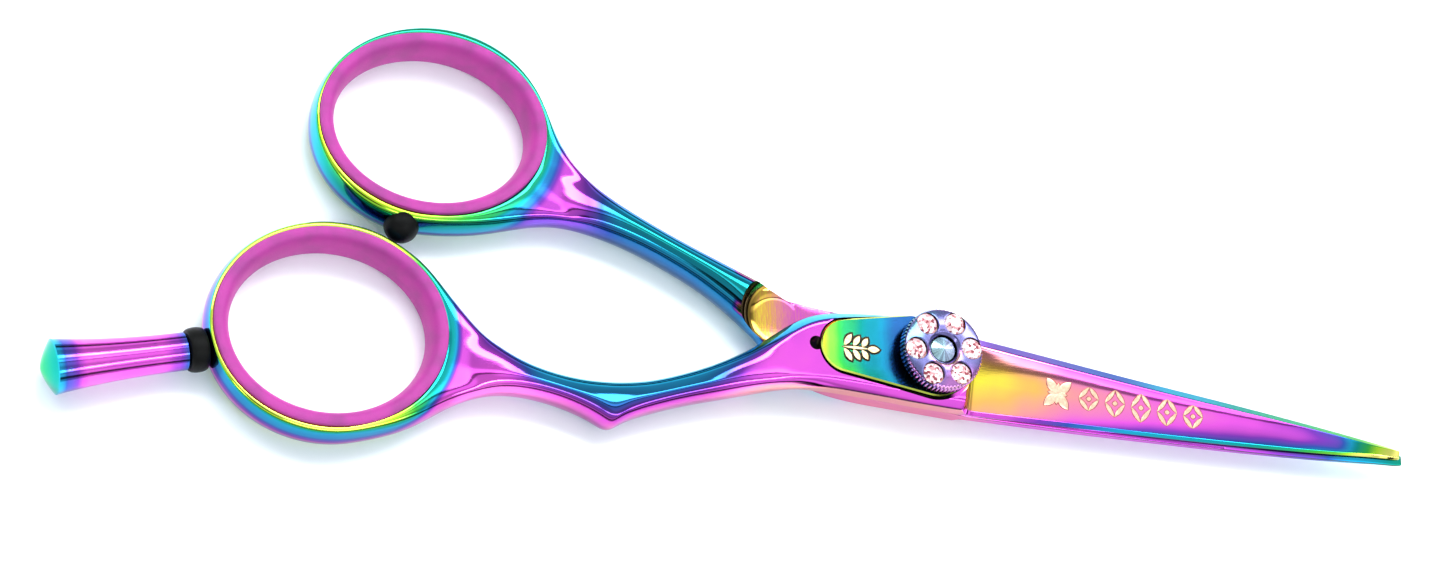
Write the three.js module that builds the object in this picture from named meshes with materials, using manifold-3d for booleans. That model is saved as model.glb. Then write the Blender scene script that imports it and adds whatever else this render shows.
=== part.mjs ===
// Hair thinning shears with ring handles, a jewelled tension knob and a screw-in finger rest.
// Units are millimetres and +Z is up. The origin is on the pivot axis, on the plane that the shears lie on.
// +X runs along the closed cutting line, from the pivot to the tips.
import * as THREE from "three";
import { mergeVertices } from "three/addons/utils/BufferGeometryUtils.js";
import Module from "manifold-3d";

const wasm = await Module();
wasm.setup();

// ---------- driving dimensions ----------
const FACE_Z = 3.0; // the plane on which the two halves ride
const FACE_GAP = 0.05; // each half stands this far back from that plane
const FIT_GAP = 0.1; // clearance around seated pieces
const BELOW = -1; // cuts that go right through run from here
const ABOVE = 9; // to here
const DEG = Math.PI / 180;

// Where each half sits: heights below are measured from the face plane, positive towards the half's outer side.
const UP = 1;
const DOWN = -1;

// Rings: plan centre, outer semi-axes and lean of the long axis, then the semi-axes of the insert's lip.
const FINGER_RING = { centre: [-67.6, -3.65], outer: [13.25, 12.2], lean: 8, lip: [12.35, 10.9], lipLean: 2 };
const THUMB_RING = { centre: [-57.45, 20.55], outer: [13.4, 11.95], lean: 15, lip: [12.5, 10.5], lipLean: 2 };
const RING_MID_Z = 2.7;
const LIP_SINK = 0.4; // how deep a lip sits in the metal
const LIP_PROUD = 0.4; // how far it stands above the metal
const LIP_OVERLAP = 1.15; // how far a lip reaches over the metal
const INSERT_WALL = 0.7; // rubber inside the metal at mid height
const RING_TOP_Z = 5.0;
const RING_BOTTOM_Z = 2 * RING_MID_Z - RING_TOP_Z;

// Pivot stack, all on the Z axis.
const BORE_R = 2.45;
const BUSH = { outer: 2.35, inner: 2.0, low: 1.15, high: 4.65 };
const SCREW = { headR: 3.2, headTop: 0.9, shankR: 1.9, threadR: 1.45, threadLow: 4.7 };
const SCREW_CONE = { low: 7.85, top: 8.25 };
const SCREW_SOCKET = { r: 0.45, offset: 1.9, depth: 0.5 };
const HEAD_WASHER = { inner: 2.05, outer: 3.2, low: 0.95, high: 1.1 };
const HEAD_SEAT = { r: 3.4, top: 1.12 };
const FRICTION_WASHER = { inner: 2.55, outer: 4.2, half: 0.22 };
const WASHER_SEAT = { r: 4.35, half: 0.27 };
const PLATE = { low: 4.8, high: 5.65, tipX: -13.5, tipR: 3.05, headR: 4.8, shiftY: 0.12 };
const PLATE_POCKET = { floor: 4.75, gap: 0.3 };
const PLATE_TRIM = 0.15; // how far the plate stops short of the boss's upper edge
const NOTCH = { x: -14.1, r: 0.8 };
const SPRING_WASHER = { inner: 2.0, outer: 3.7, low: 5.72, high: 6.02, dish: 0.12 };
const KNOB = { r: 4.72, hubR: 4.1, low: 6.1, rimLow: 6.55, rimHigh: 8.1, high: 8.4, wellR: 1.75, wellFloor: 7.1 };
const KNOB_BORE_R = 1.6;
const KNURLS = 32;
const KNURL_DEPTH = 0.16;
const CRYSTAL = { count: 6, firstBearing: 5.5, circle: 3.33, r: 1.2, crown: 0.45, table: 0.66, back: 0.35 };
const CRYSTAL_SEAT = { r: 1.3, depth: 0.95 };

// Finger rest, on a radial axis of the finger ring that crosses the ring's middle plane at levelAt from its centre.
const REST_AXIS = { bearing: 194.2, rise: 3.5, levelAt: 13 };
const REST = { start: 15.15, length: 13.7, dome: 1.3, neckR: 1.98, endR: 2.87 };
const REST_WASHER = { outer: 2.35, inner: 1.05, thick: 1.75 };
const STUD = { r: 0.9, start: 11.9, end: 20.5 };
const BUMPER = { centre: [-60.35, 8.95, 3.3], r: 1.9, stemR: 0.7, stemEnd: 2.2 };

// Scoops that bring each thick shank down to its thin pivot plate.
const FINGER_SCOOP = { centre: [-15.2, -0.4], rimR: 6.6, rise: 2.6 };
const THUMB_SCOOP = { centre: [-17.8, 3.1], rimR: 4.9, rise: 2.6 };

// Hair notches of the thumb half's blade.
const TEETH = { count: 28, firstX: 12.4, pitch: 1.6, slot: 0.8, firstRoot: -3.64, rise: -0.034 };

// ---------- the two halves: stations along the shank, boss and blade ----------
// A profile gives heights from the face plane: crest of the outer surface along the upper and lower edge, the
// widest line at each edge, and the inner surface; then how wide each edge rounds over, outside and inside.
const profile = (crestU, crestL, midU, midL, inner, roundU, roundL, roundIn) => ({
  crestU, crestL, midU, midL, inner, roundU, roundL, roundIn,
});
const mix = (a, b, f) =>
  Object.fromEntries(Object.keys(a).map((key) => [key, a[key] + (b[key] - a[key]) * f]));

const ringOut = (side) => side * (side === UP ? RING_TOP_Z - FACE_Z : RING_BOTTOM_Z - FACE_Z);
const ringIn = (side) => side * (side === UP ? RING_BOTTOM_Z - FACE_Z : RING_TOP_Z - FACE_Z);
const ringMid = (side) => side * (RING_MID_Z - FACE_Z);
const ringProfile = (side) =>
  profile(ringOut(side), ringOut(side), ringMid(side), ringMid(side), ringIn(side), 1.3, 1.3, 1.3);

const shankProfile = (side) =>
  profile(ringOut(side) + 0.15, ringOut(side) + 0.15, 0, 0, ringIn(side) - 0.1, 1.5, 1.5, 1.5);
const neckProfile = (side) => profile(2.45, 2.45, 0.2, 0.2, ringIn(side) - 0.1, 1.5, 1.2, 1.4);
const BOSS_THICK = 2.65;
const BOSS = profile(BOSS_THICK, BOSS_THICK, 1.5, 1.9, FACE_GAP, 0.9, 0.95, 0.06);
const BLADE_HEEL = profile(1.95, 0.85, 1.1, 0.2, FACE_GAP, 0.85, 0.5, 0.05);
const BLADE_MIDDLE = profile(1.5, 0.62, 0.85, 0.18, FACE_GAP, 0.75, 0.45, 0.05);
const BLADE_TIP = profile(0.95, 0.5, 0.5, 0.16, FACE_GAP, 0.4, 0.35, 0.05);
const BLADE_END = profile(0.6, 0.4, 0.3, 0.16, FACE_GAP, 0.12, 0.12, 0.05);
const swapEdges = (p) => ({
  ...p, crestU: p.crestL, crestL: p.crestU, midU: p.midL, midL: p.midU, roundU: p.roundL, roundL: p.roundU,
});

// Each station: a point on the upper edge, the point facing it on the lower edge, and the profile there.
const FINGER_HALF = {
  side: UP,
  ring: FINGER_RING,
  webUpper: [[-51.4, -2.05], [-53.65, 0.35], [-55.85, 2.95], [-58.1, 5.35]],
  ringFrom: 62,
  ringTo: 284,
  webLower: [[-59.8, -14.05], [-56.7, -12.2], [-54.2, -10.4]],
  stations: [
    [[-50.0, -3.1], [-50.8, -8.85], ringProfile(UP)],
    [[-47.1, -4.8], [-47.6, -8.4], shankProfile(UP)],
    [[-43.6, -5.85], [-43.6, -8.85], shankProfile(UP)],
    [[-40.6, -6.2], [-40.4, -9.8], shankProfile(UP)],
    [[-38.6, -6.25], [-38.3, -10.75], shankProfile(UP)],
    [[-36.9, -6.2], [-36.9, -11.35], shankProfile(UP)],
    [[-35.2, -6.05], [-35.5, -10.4], shankProfile(UP)],
    [[-32.6, -5.65], [-32.2, -9.05], shankProfile(UP)],
    [[-29.6, -4.7], [-28.4, -7.75], shankProfile(UP)],
    [[-26.4, -3.5], [-24.6, -6.75], shankProfile(UP)],
    [[-23.3, -2.1], [-20.8, -5.75], neckProfile(UP)],
    [[-20.4, -0.4], [-17.4, -5.1], mix(neckProfile(UP), BOSS, 0.5)],
    [[-17.6, 1.65], [-14.4, -4.85], BOSS],
    [[-15.2, 3.15], [-11.8, -4.8], BOSS],
    [[-12.6, 4.0], [-9.4, -4.95], BOSS],
    [[-9.0, 4.35], [-6.6, -5.15], BOSS],
    [[-4.0, 4.6], [-3.0, -5.45], BOSS],
    [[1.5, 4.4], [1.2, -5.75], BOSS],
    [[4.0, 3.7], [3.0, -5.85], BOSS],
    [[5.0, 3.1], [4.0, -5.9], BLADE_HEEL],
    [[9.0, 2.65], [8.5, -5.95], BLADE_HEEL],
    [[17.2, 1.45], [17.2, -6.05], BLADE_HEEL],
    [[26.0, 0.25], [26.0, -6.15], BLADE_MIDDLE],
    [[35.0, -0.95], [35.0, -6.2], BLADE_MIDDLE],
    [[44.1, -2.2], [44.1, -6.15], mix(BLADE_MIDDLE, BLADE_TIP, 0.5)],
    [[51.5, -3.3], [51.5, -6.0], BLADE_TIP],
    [[56.5, -4.15], [56.5, -5.8], BLADE_TIP],
    [[58.7, -4.5], [58.7, -5.62], BLADE_END],
    [[59.1, -4.7], [59.1, -5.5], BLADE_END],
  ],
};

const THUMB_HALF = {
  side: DOWN,
  ring: THUMB_RING,
  webUpper: [[-41.4, 18.25], [-43.1, 21.0], [-44.2, 23.55], [-45.35, 26.2]],
  ringFrom: 38,
  ringTo: 265,
  webLower: [[-54.4, 8.75], [-50.8, 9.4], [-47.0, 10.6], [-43.6, 11.35]],
  stations: [
    [[-38.65, 15.8], [-40.5, 11.2], ringProfile(DOWN)],
    [[-36.0, 14.2], [-37.7, 10.5], shankProfile(DOWN)],
    [[-33.0, 12.65], [-34.5, 9.55], shankProfile(DOWN)],
    [[-29.9, 11.15], [-31.4, 8.25], shankProfile(DOWN)],
    [[-25.9, 9.5], [-27.6, 6.4], shankProfile(DOWN)],
    [[-22.6, 8.2], [-24.8, 4.6], shankProfile(DOWN)],
    [[-19.9, 7.05], [-22.3, 2.75], neckProfile(DOWN)],
    [[-17.6, 6.1], [-20.1, 0.95], neckProfile(DOWN)],
    [[-16.9, 5.85], [-19.4, 0.35], BOSS],
    [[-14.2, 5.2], [-16.9, -2.2], BOSS],
    [[-10.0, 4.75], [-12.6, -4.45], BOSS],
    [[-5.0, 4.5], [-6.6, -5.1], BOSS],
    [[0.0, 4.3], [0.0, -5.5], BOSS],
    [[4.0, 3.5], [3.4, -5.8], BOSS],
    [[5.6, 2.7], [5.0, -5.9], swapEdges(BLADE_HEEL)],
    [[9.5, 1.95], [9.5, -6.05], swapEdges(BLADE_HEEL)],
    [[18.0, 0.85], [18.0, -6.3], swapEdges(BLADE_HEEL)],
    [[27.0, -0.4], [27.0, -6.5], swapEdges(BLADE_MIDDLE)],
    [[36.0, -1.6], [36.0, -6.65], swapEdges(BLADE_MIDDLE)],
    [[45.0, -2.85], [45.0, -6.7], swapEdges(mix(BLADE_MIDDLE, BLADE_TIP, 0.5))],
    [[53.0, -4.0], [53.0, -6.6], swapEdges(BLADE_TIP)],
    [[57.6, -4.75], [57.6, -6.45], swapEdges(BLADE_TIP)],
    [[59.9, -5.1], [59.9, -6.3], swapEdges(BLADE_END)],
    [[60.3, -5.3], [60.3, -6.1], swapEdges(BLADE_END)],
  ],
};

// How finely the halves are drawn.
const ROUND_ROWS = 3; // rows of points over each rounded edge
const PADDLE_POINTS = 48; // points round a ring and its web
const STATION_SPLIT = 1; // steps between stations
const RING_STEP = 12; // degrees between the points that shape a ring's outline
const OVAL_SEGMENTS = 36;
const ROUND_SEGMENTS = 24;

// ---------- materials ----------
const metal = (color, roughness = 0.15) => new THREE.MeshStandardMaterial({ color, roughness, metalness: 1 });
const soft = (color, roughness) => new THREE.MeshStandardMaterial({ color, roughness, metalness: 0 });
const MATERIALS = {
  coatedSteel: metal(0xb45ad2),
  coatedPlate: metal(0x2a9a8c),
  coatedKnob: metal(0x6a62a8, 0.25),
  steel: metal(0xb9bcc0, 0.3),
  insert: soft(0xc23ab0, 0.55),
  rubber: soft(0x101010, 0.7),
  nylon: soft(0xe8e6df, 0.5),
  crystal: soft(0xf2b8c6, 0.05),
};

// ---------- solids ----------
function toSolid(geometry) {
  const bare = geometry.clone();
  bare.deleteAttribute("normal");
  bare.deleteAttribute("uv");
  const merged = mergeVertices(bare, 1e-4);
  return new wasm.Manifold(
    new wasm.Mesh({
      numProp: 3,
      vertProperties: new Float32Array(merged.attributes.position.array),
      triVerts: new Uint32Array(merged.index.array),
    }),
  );
}

function toGeometry(solid) {
  const drawn = solid.getMesh();
  const positions = new Float32Array(drawn.numVert * 3);
  for (let i = 0; i < drawn.numVert; i++) {
    positions.set(drawn.vertProperties.subarray(i * drawn.numProp, i * drawn.numProp + 3), i * 3);
  }
  const geometry = new THREE.BufferGeometry();
  geometry.setAttribute("position", new THREE.BufferAttribute(positions, 3));
  geometry.setIndex(new THREE.BufferAttribute(drawn.triVerts, 1));
  geometry.computeVertexNormals();
  return geometry;
}

// A solid of revolution about Z from [radius, height] points that start and end on the axis, or close on themselves.
function turned(points, segments = ROUND_SEGMENTS) {
  const profilePoints = points.map(([r, z]) => new THREE.Vector2(r, z));
  return new THREE.LatheGeometry(profilePoints, segments).rotateX(Math.PI / 2);
}

const rod = (r, low, high, segments = ROUND_SEGMENTS) =>
  turned([[0, low], [r, low], [r, high], [0, high]], segments);
const tube = (inner, outer, low, high, segments = ROUND_SEGMENTS) =>
  turned([[inner, low], [outer, low], [outer, high], [inner, high], [inner, low]], segments);
const at = (geometry, x, y, z = 0) => geometry.translate(x, y, z);

// An oval prism with the given semi-axes, standing on a ring's centre.
function ovalPrism(ring, [a, b], lean, low, high) {
  return rod(1, low, high, OVAL_SEGMENTS)
    .scale(a, b, 1)
    .rotateZ(lean * DEG)
    .translate(ring.centre[0], ring.centre[1], 0);
}

// ---------- the halves ----------
function ringPoint(ring, bearing) {
  const [a, b] = ring.outer;
  const turn = bearing - ring.lean * DEG;
  const reach = 1 / Math.hypot(Math.cos(turn) / a, Math.sin(turn) / b);
  return [ring.centre[0] + reach * Math.cos(bearing), ring.centre[1] + reach * Math.sin(bearing)];
}

const splineThrough = (points) =>
  new THREE.CatmullRomCurve3(points.map(([x, y]) => new THREE.Vector3(x, y, 0)), false, "centripetal");

// The closed run of an edge's points: outside rows from the widest line to the crest, then inside rows.
function edgeRows(point, inward, p, end) {
  const crest = end === "U" ? p.crestU : p.crestL;
  const middle = end === "U" ? p.midU : p.midL;
  const round = end === "U" ? p.roundU : p.roundL;
  const row = (share, width, from, to) => {
    const angle = (share * Math.PI) / 2;
    const step = width * (1 - Math.cos(angle));
    return [point[0] + inward[0] * step, point[1] + inward[1] * step, from + (to - from) * Math.sin(angle)];
  };
  const shares = Array.from({ length: ROUND_ROWS }, (_, i) => (i + 1) / ROUND_ROWS);
  return {
    edge: [point[0], point[1], middle],
    outside: shares.map((share) => row(share, round, middle, crest)),
    inside: shares.map((share) => row(share, p.roundIn, middle, p.inner)),
  };
}

// One half as a closed surface: a paddle (ring and web, filled) whose open side carries on as lofted stations.
function halfSurface(half) {
  const upper = splineThrough(half.stations.map(([u]) => u));
  const lower = splineThrough(half.stations.map(([, l]) => l));
  const last = half.stations.length - 1;
  const loops = [];
  for (let i = 0; i <= last * STATION_SPLIT; i++) {
    const place = i / STATION_SPLIT;
    const index = Math.min(Math.floor(place), last - 1);
    const p = mix(half.stations[index][2], half.stations[index + 1][2], place - index);
    const u = upper.getPoint(place / last);
    const l = lower.getPoint(place / last);
    const across = new THREE.Vector3().subVectors(l, u);
    const width = across.length();
    across.normalize();
    const limit = 0.47 * width;
    const fitted = {
      ...p,
      roundU: Math.min(p.roundU, limit),
      roundL: Math.min(p.roundL, limit),
      roundIn: Math.min(p.roundIn, limit),
    };
    loops.push([
      edgeRows([u.x, u.y], [across.x, across.y], fitted, "U"),
      edgeRows([l.x, l.y], [-across.x, -across.y], fitted, "L"),
    ]);
  }

  const arc = [];
  for (let bearing = half.ringFrom; bearing <= half.ringTo; bearing += RING_STEP) {
    arc.push(ringPoint(half.ring, bearing * DEG));
  }
  const outline = splineThrough([
    half.stations[0][0], ...half.webUpper, ...arc, ...half.webLower, half.stations[0][1],
  ]);
  const p = half.stations[0][2];
  const paddle = [];
  for (let k = 1; k < PADDLE_POINTS; k++) {
    const share = k / PADDLE_POINTS;
    const point = outline.getPointAt(share);
    const along = outline.getTangentAt(share);
    paddle.push(edgeRows([point.x, point.y], [-along.y, along.x], p, "U"));
  }
  const rim = [loops[0][0], ...paddle, loops[0][1]];

  const positions = [];
  const faces = [];
  const register = (rows) => {
    const id = ([x, y, h]) => positions.push(x, y, FACE_Z + half.side * h) / 3 - 1;
    return { edge: id(rows.edge), outside: rows.outside.map(id), inside: rows.inside.map(id) };
  };
  const known = new Map();
  const ids = (rows) => known.get(rows) ?? known.set(rows, register(rows)).get(rows);
  const quad = (a, b, c, d) => faces.push([a, b, c], [a, c, d]);
  const strip = (from, to) => {
    for (let i = 0; i + 1 < from.length; i++) quad(from[i], to[i], to[i + 1], from[i + 1]);
  };
  const wall = ({ edge, outside, inside }) => [...inside.slice().reverse(), edge, ...outside];

  for (let k = 0; k + 1 < rim.length; k++) strip(wall(ids(rim[k])), wall(ids(rim[k + 1])));
  for (const [layer, flip] of [["outside", false], ["inside", true]]) {
    const ring = rim.map((rows) => ids(rows)[layer].at(-1));
    const flat = ring.map((i) => new THREE.Vector2(positions[3 * i], positions[3 * i + 1]));
    for (const [a, b, c] of THREE.ShapeUtils.triangulateShape(flat, [])) {
      faces.push(flip ? [ring[c], ring[b], ring[a]] : [ring[a], ring[b], ring[c]]);
    }
  }
  const band = ([u, l]) => [
    ...wall(ids(u)),
    ...wall(ids(l)).reverse(),
    ids(u).inside.at(-1),
  ];
  for (let i = 0; i + 1 < loops.length; i++) strip(band(loops[i + 1]), band(loops[i]));
  const end = band(loops.at(-1)).slice(0, -1);
  const endPoints = end.map((i) => new THREE.Vector2(positions[3 * i + 1], half.side * positions[3 * i + 2]));
  for (const [a, b, c] of THREE.ShapeUtils.triangulateShape(endPoints, [])) faces.push([end[a], end[b], end[c]]);

  const geometry = new THREE.BufferGeometry();
  geometry.setAttribute("position", new THREE.BufferAttribute(new Float32Array(positions), 3));
  geometry.setIndex(faces.flat());
  return geometry;
}

// The faces of a halfSurface may all point in or all out; this returns the solid either way.
function halfSolid(half) {
  const geometry = halfSurface(half);
  const solid = toSolid(geometry);
  if (solid.volume() > 0) return solid;
  const turnedOver = geometry.index.array.slice();
  for (let i = 0; i < turnedOver.length; i += 3) {
    [turnedOver[i + 1], turnedOver[i + 2]] = [turnedOver[i + 2], turnedOver[i + 1]];
  }
  geometry.setIndex(new THREE.BufferAttribute(turnedOver, 1));
  return toSolid(geometry);
}

const smaller = ([a, b], by) => [a - by, b - by];

// What an insert needs cut out of its ring: the hole, and a step for each lip.
function insertSeat(ring) {
  const lip = smaller(ring.lip, -FIT_GAP);
  return toSolid(ovalPrism(ring, smaller(ring.lip, LIP_OVERLAP - FIT_GAP), ring.lipLean, BELOW, ABOVE))
    .add(toSolid(ovalPrism(ring, lip, ring.lipLean, RING_TOP_Z - LIP_SINK - FIT_GAP, ABOVE)))
    .add(toSolid(ovalPrism(ring, lip, ring.lipLean, BELOW, RING_BOTTOM_Z + LIP_SINK + FIT_GAP)));
}

// A round scoop that thins a shank to its pivot plate: flat floor, then a quarter-round rise to the rim.
function scoop({ centre, rimR, rise }, side) {
  const steps = 6;
  const depth = 4;
  const fillet = Array.from({ length: steps + 1 }, (_, i) => {
    const angle = (i / steps) * (Math.PI / 2);
    return [rimR - rise + rise * Math.sin(angle), -side * rise * (1 - Math.cos(angle))];
  });
  const outline = [[0, 0], ...fillet, [rimR, -side * depth], [0, -side * depth]];
  const cutter = turned(side === UP ? outline.reverse() : outline, OVAL_SEGMENTS);
  return toSolid(at(cutter, centre[0], centre[1], FACE_Z + side * FACE_GAP));
}

function fingerBlade() {
  const seat = insertSeat(FINGER_RING);
  const pocket = toSolid(plateOutline(PLATE_POCKET.gap, PLATE_POCKET.floor, ABOVE));
  const notch = toSolid(at(rod(NOTCH.r, PLATE_POCKET.floor, ABOVE), NOTCH.x, 0));
  const studHole = toSolid(alongRest(rod(STUD.r + FIT_GAP, STUD.start - 0.2, STUD.end, 16)));
  return halfSolid(FINGER_HALF)
    .subtract(seat)
    .subtract(scoop(FINGER_SCOOP, UP))
    .subtract(pocket)
    .subtract(notch)
    .subtract(studHole)
    .subtract(toSolid(rod(BORE_R, BELOW, ABOVE)))
    .subtract(toSolid(rod(WASHER_SEAT.r, BELOW, FACE_Z + WASHER_SEAT.half)));
}

function thumbBlade() {
  let body = halfSolid(THUMB_HALF)
    .subtract(insertSeat(THUMB_RING))
    .subtract(scoop(THUMB_SCOOP, DOWN))
    .subtract(toSolid(rod(BORE_R, BELOW, ABOVE)))
    .subtract(toSolid(rod(HEAD_SEAT.r, BELOW, HEAD_SEAT.top)))
    .subtract(toSolid(rod(WASHER_SEAT.r, FACE_Z - WASHER_SEAT.half, ABOVE)))
    .subtract(toSolid(bumperShape(FIT_GAP)));
  for (let i = 0; i < TEETH.count; i++) {
    body = body.subtract(toSolid(toothSlot(i)));
  }
  return body;
}

// The gap after tooth i: open at the tips, round at the root, above the spine's solid land.
function toothSlot(i) {
  const x = TEETH.firstX + i * TEETH.pitch;
  const half = TEETH.slot / 2;
  const root = TEETH.firstRoot + TEETH.rise * (x - TEETH.firstX);
  const shape = new THREE.Shape();
  shape.moveTo(x - half, THUMB_RING.centre[1]);
  shape.lineTo(x - half, root + half);
  shape.absarc(x, root + half, half, Math.PI, 2 * Math.PI, false);
  shape.lineTo(x + half, THUMB_RING.centre[1]);
  return new THREE.ExtrudeGeometry(shape, { depth: ABOVE - BELOW, bevelEnabled: false, curveSegments: 2 })
    .translate(0, 0, BELOW);
}

// ---------- pieces on the rings ----------
function ringInsert(ring) {
  const top = RING_TOP_Z + LIP_PROUD;
  const bottom = RING_BOTTOM_Z - LIP_PROUD;
  const lipTop = RING_TOP_Z - LIP_SINK;
  const lipBottom = RING_BOTTOM_Z + LIP_SINK;
  const bevel = 0.3;
  const flat = 0.6; // the lip is level out to here, then falls away into the finger hole
  const funnel = [[flat, 0], [LIP_OVERLAP, 0.5], [LIP_OVERLAP + 0.7 * INSERT_WALL, 1.4]];
  // [inset from the lip's outline, height] round the section
  const section = [
    [0, lipTop], [0, top - bevel], [bevel, top],
    ...funnel.map(([inset, drop]) => [inset, top - drop]),
    [LIP_OVERLAP + INSERT_WALL, RING_MID_Z],
    ...funnel.reverse().map(([inset, drop]) => [inset, bottom + drop]),
    [bevel, bottom], [0, bottom + bevel], [0, lipBottom],
    [LIP_OVERLAP, lipBottom], [LIP_OVERLAP, lipTop],
  ];
  const positions = [];
  const faces = [];
  for (let i = 0; i < OVAL_SEGMENTS; i++) {
    const angle = (i / OVAL_SEGMENTS) * 2 * Math.PI;
    for (const [inset, z] of section) {
      positions.push((ring.lip[0] - inset) * Math.cos(angle), (ring.lip[1] - inset) * Math.sin(angle), z);
    }
  }
  const n = section.length;
  for (let i = 0; i < OVAL_SEGMENTS; i++) {
    const next = (i + 1) % OVAL_SEGMENTS;
    for (let j = 0; j < n; j++) {
      const [a, b, c, d] = [i * n + j, i * n + ((j + 1) % n), next * n + ((j + 1) % n), next * n + j];
      faces.push(a, c, b, a, d, c);
    }
  }
  const geometry = new THREE.BufferGeometry();
  geometry.setAttribute("position", new THREE.BufferAttribute(new Float32Array(positions), 3));
  geometry.setIndex(faces);
  return geometry.rotateZ(ring.lipLean * DEG).translate(ring.centre[0], ring.centre[1], 0);
}

// A rubber ball on a short stem that plugs into the thumb ring.
function bumperShape(grow) {
  const r = BUMPER.r + grow;
  const toRing = Math.atan2(THUMB_RING.centre[1] - BUMPER.centre[1], THUMB_RING.centre[0] - BUMPER.centre[0]);
  const ball = toSolid(new THREE.SphereGeometry(r, 20, 12));
  const stem = toSolid(
    rod(BUMPER.stemR + grow, 0, BUMPER.stemEnd + grow, 12)
      .rotateY(Math.PI / 2)
      .rotateZ(toRing),
  );
  return toGeometry(ball.add(stem).translate(BUMPER.centre));
}

// Lays a shape that was turned about Z along the finger rest's axis: heights become distance from the ring's centre.
function alongRest(geometry) {
  return geometry
    .rotateY(Math.PI / 2)
    .rotateY(-REST_AXIS.rise * DEG)
    .rotateZ(REST_AXIS.bearing * DEG)
    .translate(...FINGER_RING.centre, RING_MID_Z - REST_AXIS.levelAt * Math.sin(REST_AXIS.rise * DEG));
}

function fingerRest() {
  const steps = 7;
  const flare = Array.from({ length: steps + 1 }, (_, i) => {
    const share = i / steps;
    return [REST.neckR + (REST.endR - REST.neckR) * share ** 2.2, REST.start + REST.length * share];
  });
  const end = REST.start + REST.length;
  const body = toSolid(
    turned([[0, REST.start], ...flare, [REST.endR * 0.72, end + REST.dome * 0.62], [0, end + REST.dome]]),
  );
  const bore = toSolid(rod(STUD.r + FIT_GAP, REST.start - 1, STUD.end + 0.2, 16));
  return alongRest(toGeometry(body.subtract(bore)));
}

function fingerRestWasher() {
  const { inner, outer, thick } = REST_WASHER;
  const low = REST.start - FIT_GAP - thick;
  const high = REST.start - FIT_GAP;
  const ease = 0.45;
  return alongRest(
    turned([
      [inner, low], [outer - ease, low], [outer, low + ease], [outer, high - ease], [outer - ease, high],
      [inner, high], [inner, low],
    ]),
  );
}

// ---------- pieces on the pivot ----------
// The tension plate in plan: a broad round head about the pivot drawn out to a narrower round tip.
function plateOutline(grow, low, high) {
  const head = PLATE.headR + grow;
  const tip = PLATE.tipR + grow;
  const tipX = PLATE.tipX + PLATE.tipR;
  const lean = Math.acos((head - tip) / -tipX);
  const shape = new THREE.Shape();
  shape.absarc(0, 0, head, -(Math.PI - lean), Math.PI - lean, false);
  shape.absarc(tipX, 0, tip, Math.PI - lean, Math.PI + lean, false);
  shape.closePath();
  return new THREE.ExtrudeGeometry(shape, { depth: high - low, bevelEnabled: false, curveSegments: 24 })
    .translate(0, 0, low);
}

function tensionPlate() {
  return toGeometry(
    toSolid(at(plateOutline(0, PLATE.low, PLATE.high), 0, PLATE.shiftY))
      .intersect(toSolid(bossPlan()))
      .subtract(toSolid(rod(BORE_R, BELOW, ABOVE))),
  );
}

// The boss between its two edges, so that the plate ends flush with its flanks.
function bossPlan() {
  const boss = FINGER_HALF.stations.filter(([, , p]) => p === BOSS);
  const upper = boss.map(([[x, y]]) => new THREE.Vector2(x, y - PLATE_TRIM));
  const lower = boss.map(([, [x, y]]) => new THREE.Vector2(x, y + PLATE_TRIM));
  return new THREE.ExtrudeGeometry(new THREE.Shape([...upper, ...lower.reverse()]), {
    depth: ABOVE,
    bevelEnabled: false,
  });
}

function pivotScrew() {
  const { headR, headTop, shankR, threadR, threadLow } = SCREW;
  const body = toSolid(
    turned([
      [0, 0], [headR - 0.2, 0], [headR, 0.2], [headR, headTop], [shankR, headTop], [shankR, threadLow],
      [threadR, threadLow + 0.2], [threadR, SCREW_CONE.low], [threadR * 0.2, SCREW_CONE.top], [0, SCREW_CONE.top],
    ]),
  );
  const socket = () => rod(SCREW_SOCKET.r, BELOW, SCREW_SOCKET.depth, 16);
  return toGeometry(
    body
      .subtract(toSolid(at(socket(), SCREW_SOCKET.offset, 0)))
      .subtract(toSolid(at(socket(), -SCREW_SOCKET.offset, 0))),
  );
}

function springWasher() {
  const { inner, outer, low, high, dish } = SPRING_WASHER;
  return turned([[inner, low + dish], [outer, low], [outer, high - dish], [inner, high], [inner, low + dish]]);
}

const crystalBearing = (i) => ((i * 360) / CRYSTAL.count + CRYSTAL.firstBearing) * DEG;

function tensionKnob() {
  const { r, hubR, low, rimLow, rimHigh, high, wellR, wellFloor } = KNOB;
  let body = toSolid(
    turned(
      [
        [0, low], [hubR, low], [hubR, rimLow - 0.15], [r - 0.25, rimLow], [r, rimLow + 0.2], [r, rimHigh - 0.1],
        [r - 0.3, rimHigh + 0.12], [wellR + 0.35, high], [wellR, high - 0.25], [wellR, wellFloor], [0, wellFloor],
      ],
      KNURLS,
    ),
  );
  const groove = new THREE.CylinderGeometry(KNURL_DEPTH, KNURL_DEPTH, rimHigh - rimLow + 1, 4).rotateX(Math.PI / 2);
  for (let i = 0; i < KNURLS; i++) {
    const bearing = ((i + 0.5) / KNURLS) * 2 * Math.PI;
    const cut = groove.clone().rotateZ(bearing);
    body = body.subtract(
      toSolid(at(cut, r * Math.cos(bearing), r * Math.sin(bearing), (rimLow + rimHigh) / 2)),
    );
  }
  body = body.subtract(toSolid(rod(KNOB_BORE_R, BELOW, ABOVE)));
  for (let i = 0; i < CRYSTAL.count; i++) {
    const seat = rod(CRYSTAL_SEAT.r, high - CRYSTAL_SEAT.depth, ABOVE, 20);
    body = body.subtract(toSolid(placeCrystal(seat, i)));
  }
  return toGeometry(body);
}

const placeCrystal = (geometry, i) =>
  at(geometry, CRYSTAL.circle * Math.cos(crystalBearing(i)), CRYSTAL.circle * Math.sin(crystalBearing(i)));

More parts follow.
